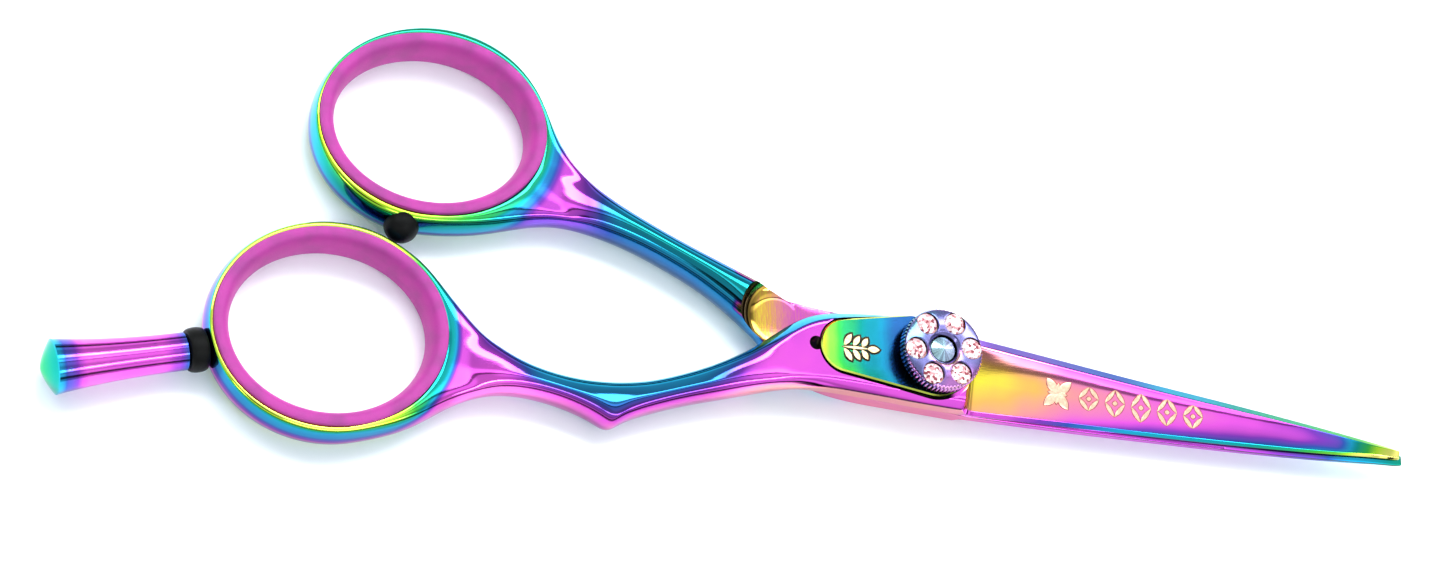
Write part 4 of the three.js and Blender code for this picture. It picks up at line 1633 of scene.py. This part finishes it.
@dataclass(frozen=True)
class Bumper:
    """The rubber ball that the rings close on, with the stem that plugs into the thumb ring."""

    centre: Place = (-60.35, 8.95, 3.3)
    radius: float = 1.9
    stem: float = 0.7
    stem_end: float = 2.2
    steps: int = 28

    def build(self, finish: bpy.types.Material) -> None:
        """Makes the ball with a flat where the stem leaves it, and mounts it.

        Args:
            finish: its material.
        """
        profile: list[Point] = [(0.0, -self.radius)]
        for i in range(1, self.steps):
            angle = math.radians(-90 + 160 * i / self.steps)
            profile.append((self.radius * math.cos(angle), self.radius * math.sin(angle)))
        neck = self.radius * 0.96
        profile += [(self.stem, neck), (self.stem, self.stem_end), (0.0, self.stem_end)]
        piece = lathe("ring_bumper_ball", profile, 64)
        heading = Vector(THUMB_RING.centre) - Vector(self.centre[:2])
        turn = Vector((heading.x, heading.y, 0)).to_track_quat("Z", "Y").to_matrix().to_4x4()
        piece.data.transform(turn)
        shift(piece, *self.centre)
        mount(piece, Body.THUMB, "black_rubber", finish, "ring_bumper")


@dataclass(frozen=True)
class FingerRest:
    """The flared rod on the finger ring, with its washer.

    The rod's axis leaves the ring's centre at a bearing and climbs by rise, both in degrees; it is level
    with the ring's middle at level_at from the centre. start, and the washer's ends, are distances along it
    from the centre.
    """

    bearing: float = 194.2
    rise: float = 3.5
    level_at: float = 13.0
    start: float = 15.15
    length: float = 13.7
    dome: float = 1.3
    neck: float = 1.98
    end: float = 2.87
    washer: Point = (13.1, 15.07)
    washer_r: float = 2.35
    washer_bore: float = 1.05
    washer_round: float = 0.55

    def placing(self) -> Matrix:
        """Places a shape that was turned about Z.

        Returns:
            The matrix that lays Z along the rod's axis, with heights as distances from the ring's centre.
        """
        rise = math.radians(self.rise)
        turn = Matrix.Rotation(math.radians(self.bearing), 4, "Z") @ Matrix.Rotation(-rise, 4, "Y")
        spot = Vector((*FINGER_RING.centre, RING_MID_Z - self.level_at * math.sin(rise))) * MM
        return Matrix.Translation(spot) @ turn @ Matrix.Rotation(math.pi / 2, 4, "Y")

    def build(self, finish: bpy.types.Material) -> None:
        """Makes and mounts the rod: a slim neck that flares to a domed end.

        Args:
            finish: its material.
        """
        profile: list[Point] = [(0.0, self.start), (self.neck - 0.15, self.start)]
        profile.append((self.neck, self.start + 0.15))
        for i in range(1, 25):
            share = i / 24
            swell = (self.end - self.neck) * share**2.2
            profile.append((self.neck + swell, self.start + self.length * share))
        far = self.start + self.length
        for i in range(7, -1, -1):
            share = i / 8
            profile.append((self.end * share, far + self.dome * (1 - share**1.5)))
        piece = lathe("finger_rest_rod", profile, 96, 24.0)
        piece.data.transform(self.placing())
        mount(piece, Body.REST, "rainbow_coated_steel", finish, "finger_rest")

    def build_washer(self, finish: bpy.types.Material) -> None:
        """Makes and mounts the rubber washer, whose rim is rounded.

        Args:
            finish: its material.
        """
        low, high = self.washer
        profile: list[Point] = [(self.washer_bore, low)]
        for i in range(17):
            angle = math.radians(-90 + 180 * i / 16)
            reach = self.washer_r - self.washer_round * (1 - abs(math.cos(angle)) ** 0.6)
            profile.append((reach, (low + high) / 2 + (high - low) / 2 * math.sin(angle)))
        profile += [(self.washer_bore, high), (self.washer_bore, low)]
        piece = lathe("finger_rest_washer_soft", profile, 64)
        piece.data.transform(self.placing())
        mount(piece, Body.FINGER, "black_rubber", finish, "finger_rest_washer")

    def coat(self) -> bpy.types.Material:
        """Builds the rod's coat: magenta along it, blue at its ends and green on the dome, with small pits.

        Returns:
            The material.
        """
        finish = RainbowCoat("finger_rest_coat", 0.12)
        graph = finish.begin()
        back = self.placing().inverted()
        axis = [back[2][i] for i in range(3)]
        along = graph.x * axis[0] + graph.y * axis[1] + graph.z * axis[2] + back[2][3] / MM
        start, far = self.start, self.start + self.length
        stops = [
            (start, 0.46), (start + 1.2, 0.34), (start + 3, 0.26), (far - 3.2, 0.25), (far - 1.0, 0.42),
            (far - 0.1, 0.55), (far + 0.2, 0.66), (far + self.dome, 0.72),
        ]
        phase = graph.curve(along, start, far + self.dome, stops)
        pits = graph.noise(2.2, 2.0).rise(0.72, 0.76)
        return finish.complete(graph, phase + pits * 0.1)


@dataclass(frozen=True)
class TensionKnob:
    """The thin round knob, its knurled edge, its crystals and the well that shows the screw's cone."""

    radius: float = 4.72
    hub: float = 4.1
    low: float = 6.1
    rim_low: float = 6.5
    rim_high: float = 8.08
    high: float = 8.4
    well: float = 1.95
    bore: float = 1.56
    knurls: int = 64
    knurl_depth: float = 0.19
    count: int = 6
    first: float = 5.5
    circle: float = 3.33
    stone: float = 1.18
    seat: float = 1.26
    seat_depth: float = 0.62
    per_knurl: int = 6

    def bearings(self) -> list[float]:
        """Where the crystals are, in radians."""
        return [math.radians(i * 360 / self.count + self.first) for i in range(self.count)]

    def blank(self) -> bpy.types.Object:
        """Builds the knob before its seats are cut: a turned blank whose rim is knurled.

        Returns:
            The blank.
        """
        rim: list[tuple[float, float, float]] = [
            (self.hub, self.low, 0), (self.hub, self.rim_low - 0.12, 0), (self.radius - 0.3, self.rim_low, 0),
            (self.radius - 0.04, self.rim_low + 0.2, 1), (self.radius, self.rim_low + 0.3, 1),
            (self.radius, self.rim_high - 0.28, 1), (self.radius - 0.05, self.rim_high - 0.16, 1),
            (self.radius - 0.22, self.rim_high + 0.05, 0), (self.radius - 0.5, self.rim_high + 0.17, 0),
            (self.well + 0.9, self.high - 0.03, 0), (self.well + 0.05, self.high, 0),
            (self.well - 0.05, self.high - 0.04, 0), (self.bore, self.high - 0.4, 0),
            (self.bore, self.low, 0),
        ]
        shell = Shell()
        total = self.knurls * self.per_knurl
        rows = []
        for reach, height, knurled in rim:
            row = []
            for i in range(total):
                turn = 2 * math.pi * i / total
                ridge = max(0.0, math.cos(2 * math.pi * i / self.per_knurl)) ** 0.8
                radius = reach - ridge * self.knurl_depth * knurled
                row.append(shell.point(radius * math.cos(turn), radius * math.sin(turn), height))
            rows.append(row)
        for first, second in zip(rows, rows[1:] + rows[:1]):
            shell.strip(first, second, closed=True)
        return shell.build("tension_knob_coated", 30.0)

    def build(self, finish: bpy.types.Material) -> None:
        """Makes and mounts the knob, with a chamfered seat for each crystal.

        Args:
            finish: its material.
        """
        piece = self.blank()
        floor, lip = self.high - self.seat_depth, self.high + 0.02
        profile = [(0.0, floor), (self.seat, floor), (self.seat, lip - 0.16)]
        profile += [(self.seat + 0.15, lip), (0.0, lip)]
        seats = []
        for turn in self.bearings():
            spot = (self.circle * math.cos(turn), self.circle * math.sin(turn))
            seats.append(shift(lathe("seat", profile, 48), *spot, 0.0))
        cut(piece, [joined("seat_cutter", seats)], 30.0)
        mount(piece, Body.KNOB, "violet_coated_steel", finish, "tension_knob")

    def crystal(self, index: int, turn: float, finish: bpy.types.Material) -> None:
        """Makes one round-cut stone: an eight-sided table, star, bezel and girdle facets.

        Args:
            index: the stone's number, from 1.
            turn: its bearing about the knob.
            finish: its material.
        """
        floor = self.high - self.seat_depth + 0.02
        girdle, table = floor + 0.28, floor + 0.58
        shell = Shell()

        def ring(reach: float, height: float, count: int, offset: float) -> list[int]:
            """A level ring of points."""
            turns = [2 * math.pi * (i + offset) / count for i in range(count)]
            return [shell.point(reach * math.cos(a), reach * math.sin(a), height) for a in turns]

        base = ring(0.7 * self.stone, floor, 16, 0.0)
        waist = ring(self.stone, girdle, 16, 0.0)
        crown = ring(0.8 * self.stone, floor + 0.47, 8, 0.5)
        top = ring(0.52 * self.stone, table, 8, 0.0)
        shell.face(*base)
        shell.face(*top)
        shell.strip(base, waist, closed=True)
        for i in range(8):
            near, far, after = waist[2 * i], waist[2 * i + 1], waist[(2 * i + 2) % 16]
            shell.face(near, far, crown[i])
            shell.face(far, after, crown[i])
            shell.face(near, crown[i], top[i], crown[i - 1])
            shell.face(top[i], crown[i], top[(i + 1) % 8])
        piece = shell.build(f"crystal_stone_{index}", 1.0)
        piece.data.transform(Matrix.Rotation(turn * 1.7 + index, 4, "Z"))
        shift(piece, self.circle * math.cos(turn), self.circle * math.sin(turn), 0.0)
        mount(piece, Body.KNOB, "pink_crystal", finish, f"knob_crystal_{index}")

    def coat(self) -> bpy.types.Material:
        """Builds the knob's coat.

        Returns:
            The material: slate violet on the face, shifted by bearing, with warmer tones in the seats, at
            the well's mouth and on the wall that faces -Y, and painted shade in the well and between the
            knurls.
        """
        finish = RainbowCoat("knob_coat", 0.2, grey=0.6, tone=(0.24, 0.23, 0.36))
        graph = finish.begin()
        radius = graph.axis_distance()
        across = (graph.x * -0.8 + graph.y * 0.45) / self.radius
        face = 0.42 + across.rise(0.35, 0.9) * 0.2 - across.rise(-0.1, -0.5) * graph.y.rise(-1.0, -3.0) * 0.16
        mouth = radius.rise(2.3, 1.9) * graph.y.rise(0.5, -1.0) * graph.z.rise(8.1, 8.3)
        in_seat = graph.z.rise(self.high - 0.18, self.high - 0.4)
        in_seat = in_seat * radius.rise(4.6, 4.5) * radius.rise(1.9, 2.0)
        wall = graph.nz.rise(0.4, 0.1) * radius.rise(4.3, 4.5) * graph.ny.rise(-0.3, -0.8)
        phase = face.towards(0.08, mouth)
        phase = phase.towards(0.06, in_seat)
        phase = phase.towards(0.2, wall)
        # painted shade: dark in the screw's well and in the grooves between the knurls
        well = radius.rise(1.66, 1.6) * graph.z.rise(self.high - 0.2, self.high - 0.4)
        knurl_shade = radius.rise(self.radius - 0.05, self.radius - 0.14)
        knurl_shade = knurl_shade * graph.z.rise(self.high - 0.55, self.high - 0.7)
        return finish.complete(graph, phase, (well + knurl_shade * 0.9).at_most(1.0))


@dataclass(frozen=True)
class PivotScrew:
    """The screw that all of it turns on, headed below and coned above.

    socket is how far the head's two spanner holes are from the axis, and their radius.
    """

    head: float = 3.2
    head_top: float = 0.9
    shank: float = 1.9
    thread: float = 1.4
    thread_low: float = 4.7
    cone_low: float = 7.85
    cone_top: float = 8.25
    socket: Point = (1.9, 0.45)
    pitch: float = 0.25

    def build(self, finish: bpy.types.Material) -> None:
        """Makes and mounts the screw.

        Args:
            finish: its material.
        """
        profile: list[Point] = [(0.0, 0.0), (self.head - 0.2, 0.0), (self.head, 0.2)]
        profile += [(self.head, self.head_top), (self.shank, self.head_top), (self.shank, self.thread_low)]
        profile += [(self.thread, self.thread_low + 0.2)]
        turns = round((self.cone_low - self.thread_low - 0.4) / self.pitch)
        for i in range(turns):
            height = self.thread_low + 0.3 + i * self.pitch
            profile += [(self.thread, height), (self.thread - 0.12, height + self.pitch / 2)]
        profile += [(self.thread, self.cone_low), (0.08, self.cone_top), (0.0, self.cone_top)]
        piece = lathe("pivot_screw_turned", profile, 72, 25.0)
        offset, reach = self.socket
        holes = [prism("hole", disc((offset * s, 0), reach, 24), BELOW_ALL, 0.5) for s in (-1, 1)]
        cut(piece, [joined("hole_cutter", holes)], 25.0)
        mount(piece, Body.FINGER, "plain_steel", finish, "pivot_screw")

    def coat(self) -> bpy.types.Material:
        """Builds the screw's coat.

        Returns:
            The material: silvery teal to violet round the cone, with a fan of painted light and dark spokes,
                a painted sheen of turning.
        """
        finish = RainbowCoat("screw_coat", 0.24, grey=0.5, tone=(0.86, 0.95, 1.0))
        graph = finish.begin()
        radius = graph.axis_distance().at_least(0.02)
        spokes = graph.node("ShaderNodeCombineXYZ", None, {"X": graph.x / radius, "Y": graph.y / radius})
        # painted sheen: radial spokes, whose dark ones darken the colour
        spoke_sheen = graph.noise(1.6, 3.0, spokes.outputs[0])
        phase = 0.53 + graph.x / radius * -0.12 + (spoke_sheen - 0.5) * 0.3
        return finish.complete(graph, phase, spoke_sheen.rise(0.52, 0.38) * 0.5)


class Figure:
    """Flat shapes that lie on a surface, each a closed outline raised a little, as one object."""

    SUNK: float = -0.15

    def __init__(self, under: bpy.types.Object, lift: float) -> None:
        """Starts a figure.

        Args:
            under: the object it lies on.
            lift: how far it stands above that, in millimetres.
        """
        self.under = under
        self.lift = lift
        self.shell = Shell()

    def height(self, x: float, y: float) -> float:
        """Finds the surface's height at a plan point, by a ray from above.

        Args:
            x: the point's x.
            y: the point's y.

        Returns:
            The height in millimetres, or 0 where there is no surface.
        """
        start = Vector((x, y, 20.0)) * MM
        hit, place, _, _ = self.under.ray_cast(start, Vector((0, 0, -1)))
        return place.z / MM if hit else 0.0

    def island(self, outline: list[Point], middle: Point) -> None:
        """Adds one shape with a bevelled rim.

        Args:
            outline: its points in order.
            middle: a point it is star-shaped about.
        """
        rows = []
        for scale, rise in ((1.0, self.SUNK), (1.0, self.lift * 0.3), (0.82, self.lift), (0.4, self.lift)):
            row = []
            for x, y in outline:
                px, py = middle[0] + (x - middle[0]) * scale, middle[1] + (y - middle[1]) * scale
                row.append(self.shell.point(px, py, self.height(px, py) + rise))
            rows.append(row)
        for first, second in zip(rows, rows[1:]):
            self.shell.strip(first, second, closed=True)
        top = self.shell.point(*middle, self.height(*middle) + self.lift)
        base = self.shell.point(*middle, self.height(*middle) + self.SUNK)
        for i in range(len(outline)):
            j = (i + 1) % len(outline)
            self.shell.face(rows[-1][i], rows[-1][j], top)
            self.shell.face(rows[0][i], rows[0][j], base)

    def petal(self, root: Point, turn: float, length: float, width: float, steps: int = 7) -> None:
        """Adds a pointed petal.

        Args:
            root: where it starts.
            turn: the bearing it points along, in degrees.
            length: its length.
            width: how wide it is halfway along.
            steps: how many stretches each side has.
        """
        heading = Vector((math.cos(math.radians(turn)), math.sin(math.radians(turn))))
        side = Vector((-heading.y, heading.x))
        near, far = [], []
        for i in range(1, steps):
            share = i / steps
            spot = Vector(root) + heading * length * share
            reach = side * width / 2 * math.sin(math.pi * share) ** 0.8
            near.append(tuple(spot + reach))
            far.append(tuple(spot - reach))
        tip = tuple(Vector(root) + heading * length)
        middle = tuple(Vector(root) + heading * length / 2)
        self.island([tuple(root), *near, tip, *reversed(far)], middle)


@dataclass(frozen=True)
class Ornament:
    """Generic gilt ornament: a rosette and a run of lozenges on the blade, and a leafed sprig on the plate.

    long_petal and short_petal are the rosette's two kinds, as length and width. lozenges are half heights,
    wide is half a width and stroke the thickness of their sides. sprig is where the stem starts.
    """

    rosette: Point = (15.3, -2.55)
    petals: int = 8
    long_petal: Point = (2.15, 1.05)
    short_petal: Point = (1.2, 0.5)
    lozenges: tuple[float, ...] = (1.3, 1.5, 1.6, 1.5, 1.3)
    pitch: float = 3.3
    wide: float = 1.25
    stroke: float = 0.5
    sprig: Point = (-11.2, -0.1)

    def build_blade(
        self, under: bpy.types.Object, grow: float, lift: float, finish: bpy.types.Material
    ) -> None:
        """Makes and mounts the marks on the blade.

        Args:
            under: the blade.
            grow: how much wider than nominal each mark is.
            lift: how far it stands above the blade.
            finish: its material.
        """
        figure = Figure(under, lift)
        for i in range(self.petals):
            long, wide = self.long_petal if i % 2 == 0 else self.short_petal
            figure.petal(self.rosette, 360 / self.petals * i + 40, long + grow, wide + 2 * grow)
        for i, tall in enumerate(self.lozenges):
            x = self.rosette[0] + 3.9 + self.pitch * i
            y = self.rosette[1] - 0.055 * (x - self.rosette[0])
            corners = [(x + self.wide, y), (x, y + tall), (x - self.wide, y), (x, y - tall)]
            for first, second in zip(corners, corners[1:] + corners[:1]):
                run = Vector(second) - Vector(first)
                turn = math.degrees(math.atan2(run.y, run.x))
                start = Vector(first) - run.normalized() * grow
                figure.petal(tuple(start), turn, run.length + 2 * grow, self.stroke + 2 * grow)
            figure.petal((x - 0.32 - grow, y), 0, 0.64 + 2 * grow, 0.5 + 2 * grow)
        piece = figure.shell.build(f"blade_ornament_{round(1000 * lift)}", 20.0)
        mount(piece, Body.FINGER, "rainbow_coated_steel", finish)

    def build_sprig(
        self, under: bpy.types.Object, grow: float, lift: float, finish: bpy.types.Material
    ) -> None:
        """Makes and mounts the sprig: a stem with leaves in pairs and one at its end.

        Args:
            under: the tension plate.
            grow: how much wider than nominal each leaf is.
            lift: how far it stands above the plate.
            finish: its material.
        """
        figure = Figure(under, lift)
        start, level = self.sprig
        figure.petal((start, level), 0, 3.4, 0.34 + 2 * grow)
        figure.petal((start + 3.0 - grow, level), 0, 1.6 + 2 * grow, 0.8 + 2 * grow)
        for i in range(3):
            for side in (-1, 1):
                root = (start + 0.35 + 1.05 * i, level + 0.14 * side)
                figure.petal(root, 58 * side, 1.75 - 0.2 * i + grow, 0.72 + 2 * grow)
        piece = figure.shell.build(f"plate_ornament_{round(1000 * lift)}", 20.0)
        mount(piece, Body.FINGER, "green_coated_steel", finish)


def plate_coat() -> bpy.types.Material:
    """Builds the tension plate's coat.

    Returns:
        The material: lime at the nose and rim, then green, teal, and deep blue by the knob, darkened there by
            painted shade.
    """
    finish = RainbowCoat("plate_coat", 0.16)
    graph = finish.begin()
    stops: list[Point] = [(-13.4, 0.88), (-12.4, 0.8), (-10.2, 0.72), (-7.6, 0.6), (-4.5, 0.48)]
    run = graph.curve(graph.x, -13.4, 2.0, stops)
    phase = run + graph.y.rise(-1.5, -4.0) * 0.08
    phase = phase.towards(0.95, graph.nz.rise(0.97, 0.8))
    # painted shade: darker towards the knob
    return finish.complete(graph, phase, graph.x.rise(-12.5, -7.0) * 0.42)


# ---------------------------------------------------------------- studio


@dataclass(frozen=True)
class Studio:
    """The camera, a pale floor, one soft light, and a world of light and dark bands to reflect.

    tent is the world's level by the z of the direction, and bands by its y; bands counts where the
    direction is steep. soft_box is the direction of a broad brighter patch. roll turns the camera, in
    degrees.
    """

    eye: Place = (-123.6, -106.0, 290.6)
    target: Place = (-26.0, 4.2, 8.6)
    roll: float = 0.32
    lens: float = 73.41
    glow: float = 0.85
    aim: Place = (-25.0, 5.0, 0.0)
    soft_box: Place = (0.42, 0.10, 0.90)
    tent: tuple[Point, ...] = (
        (0.0, 0.6), (0.12, 0.6), (0.18, 0.03), (0.3, 0.03), (0.35, 0.95), (0.45, 0.95), (0.52, 0.5),
        (1.0, 0.62),
    )
    bands: tuple[Point, ...] = (
        (-1.0, 0.2), (-0.78, 0.2), (-0.72, 0.34), (-0.56, 0.34), (-0.52, 0.2), (-0.49, 1.0), (-0.42, 1.0),
        (-0.39, 0.2), (0.05, 0.2), (0.08, 0.05), (0.12, 0.05),
        (0.15, 0.5), (0.22, 0.45), (0.28, 0.2), (0.36, 0.2), (0.4, 1.0), (0.52, 1.0), (0.56, 0.2), (1.0, 0.2),
    )

    def camera(self) -> None:
        """Makes the camera and gives it to the scene."""
        data = bpy.data.cameras.new("camera")
        data.lens = self.lens
        data.sensor_width = 36.0
        data.clip_start = 0.01
        thing = bpy.data.objects.new("camera", data)
        eye, target = Vector(self.eye) * MM, Vector(self.target) * MM
        back = (eye - target).normalized()
        up = Vector((math.sin(math.radians(self.roll)), math.cos(math.radians(self.roll)), 0.0))
        right = up.cross(back).normalized()
        true_up = back.cross(right)
        turn = Matrix((right, true_up, back)).transposed().to_4x4()
        thing.matrix_world = Matrix.Translation(eye) @ turn
        bpy.context.scene.collection.objects.link(thing)
        bpy.context.scene.camera = thing

    def floor(self) -> None:
        """Makes the pale floor."""
        shell = Shell()
        reach = 900.0
        corners = ((-reach, -reach), (reach, -reach), (reach, reach), (-reach, reach))
        shell.face(*[shell.point(x, y, CAD_BOX[0][2] / MM - 0.02) for x, y in corners])
        piece = shell.build("floor")
        graph = Graph("floor_paper")
        fibre = graph.noise(0.05, 3.0)
        graph.finish(
            Base_Color=graph.mixed(fibre, (0.92, 0.93, 0.94), (0.94, 0.94, 0.95)),
            Roughness=0.6 + (fibre - 0.5) * 0.1,
            Specular_IOR_Level=0.2,
            Emission_Color=(0.6, 0.94, 1.0, 1.0),
            Emission_Strength=0.1,
        )
        piece.data.materials.append(graph.material)

    def light(self, name: str, place: Place, size: Point, power: float, colour: Colour) -> None:
        """Makes one soft light that looks at the shears, and that no surface mirrors.

        Args:
            name: its name.
            place: where it is, in millimetres.
            size: its width and height in millimetres.
            power: its power in watts.
            colour: its colour.
        """
        data = bpy.data.lights.new(name, "AREA")
        data.shape = "RECTANGLE"
        data.size, data.size_y = size[0] * MM, size[1] * MM
        data.energy = power
        data.color = colour
        thing = bpy.data.objects.new(name, data)
        spot = Vector(place) * MM
        aim = (Vector(self.aim) * MM - spot).to_track_quat("-Z", "Y")
        thing.matrix_world = Matrix.Translation(spot) @ aim.to_matrix().to_4x4()
        thing.visible_glossy = False
        bpy.context.scene.collection.objects.link(thing)

    def surroundings(self) -> None:
        """Makes the world: the tent times its bands, with the soft box, and dark where the camera is."""
        world = bpy.data.worlds.new("tent")
        bpy.context.scene.world = world
        world.use_nodes = True
        tree = NodeTree(world.node_tree)
        way = tree.node("ShaderNodeTexCoord").outputs["Generated"]
        _, y, z = tree.split(way)
        tent = tree.curve(z, 0.0, 1.0, list(self.tent))
        eye = tree.dot(way, Vector(self.eye) - Vector(self.target)).rise(0.955, 0.975)
        box = tree.dot(way, Vector(self.soft_box)).rise(0.93, 0.975)
        bands = 0.2 * (1 - z.rise(0.5, 0.6)) + tree.curve(y, -1.0, 1.0, list(self.bands)) * z.rise(0.5, 0.6)
        level = ((tent * 1.5 + box * 0.6) * bands * 5 + bands.rise(0.6, 1.0) * 6) * (1 - eye * 0.97)
        backdrop = world.node_tree.nodes["Background"]
        backdrop.inputs[0].default_value = (0.90, 0.97, 1.0, 1.0)
        world.node_tree.links.new((level * self.glow).socket, backdrop.inputs[1])

    def build(self) -> None:
        """Makes the whole studio."""
        self.camera()
        self.floor()
        self.surroundings()
        self.light("key", (60.0, 330.0, 440.0), (400.0, 400.0), 2.9, (1.0, 0.97, 0.94))
        settings = bpy.context.scene.view_settings
        settings.view_transform = "Standard"
        settings.look = "None"


# ---------------------------------------------------------------- assembly


def dress_hidden() -> None:
    """Gives the frame's own washers, bush and stud their finishes."""
    steel = Turned("turned_steel", (0.60, 0.61, 0.63)).make()
    nylon = Nylon("white_nylon").make()
    finishes = {
        "spring_washer": steel,
        "finger_rest_stud": steel,
        "pivot_bush": nylon,
        "head_washer": nylon,
        "friction_washer": nylon,
    }
    for node, finish in finishes.items():
        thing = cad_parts[node]
        thing.data.materials.clear()
        thing.data.materials.append(finish)
        LOG.info("%s dressed", node)


def main() -> None:
    """Builds the studio and every piece in order."""
    logging.basicConfig(level=logging.INFO, format="%(name)s: %(message)s")
    Studio().build()
    magenta = SoftRubber("magenta_rubber", (0.50, 0.04, 0.33), (0.24, 0.04, 0.19)).make()
    black = SoftRubber("black_rubber", (0.002, 0.002, 0.002), (0.004, 0.004, 0.004), 0.4, 0.1).make()
    blade = FingerHalf().build(HalfCoat("finger_half_coat", FINGER_RING).make_finger())
    ThumbHalf().build(HalfCoat("thumb_half_coat", THUMB_RING).make_thumb())
    RingInsert("finger_ring_insert", FINGER_RING, Body.FINGER).build(magenta)
    RingInsert("thumb_ring_insert", THUMB_RING, Body.THUMB).build(magenta)
    Bumper().build(black)
    rest = FingerRest()
    rest.build(rest.coat())
    rest.build_washer(black)
    plate = TensionPlate()
    inlay = plate.build(plate_coat())
    knob = TensionKnob()
    knob.build(knob.coat())
    stone = CutCrystal("pink_crystal").make()
    for index, turn in enumerate(knob.bearings(), start=1):
        knob.crystal(index, turn, stone)
    screw = PivotScrew()
    screw.build(screw.coat())
    ornament = Ornament()
    peach = GiltInlay("peach_gilt", (1.0, 0.70, 0.50), (0.95, 0.52, 0.36)).make()
    gold = GiltInlay("pale_gilt", (0.95, 0.74, 0.42), (0.70, 0.50, 0.24)).make()
    rust = GiltInlay("rust_outline", (0.55, 0.14, 0.12), (0.30, 0.05, 0.07)).make()
    ink = GiltInlay("ink_outline", (0.012, 0.01, 0.006), (0.03, 0.02, 0.01)).make()
    ornament.build_blade(blade, 0.08, 0.02, rust)
    ornament.build_blade(blade, 0.0, 0.05, peach)
    ornament.build_sprig(inlay, 0.2, 0.03, ink)
    ornament.build_sprig(inlay, 0.0, 0.05, gold)
    dress_hidden()


if __name__ == "__main__":
    main()
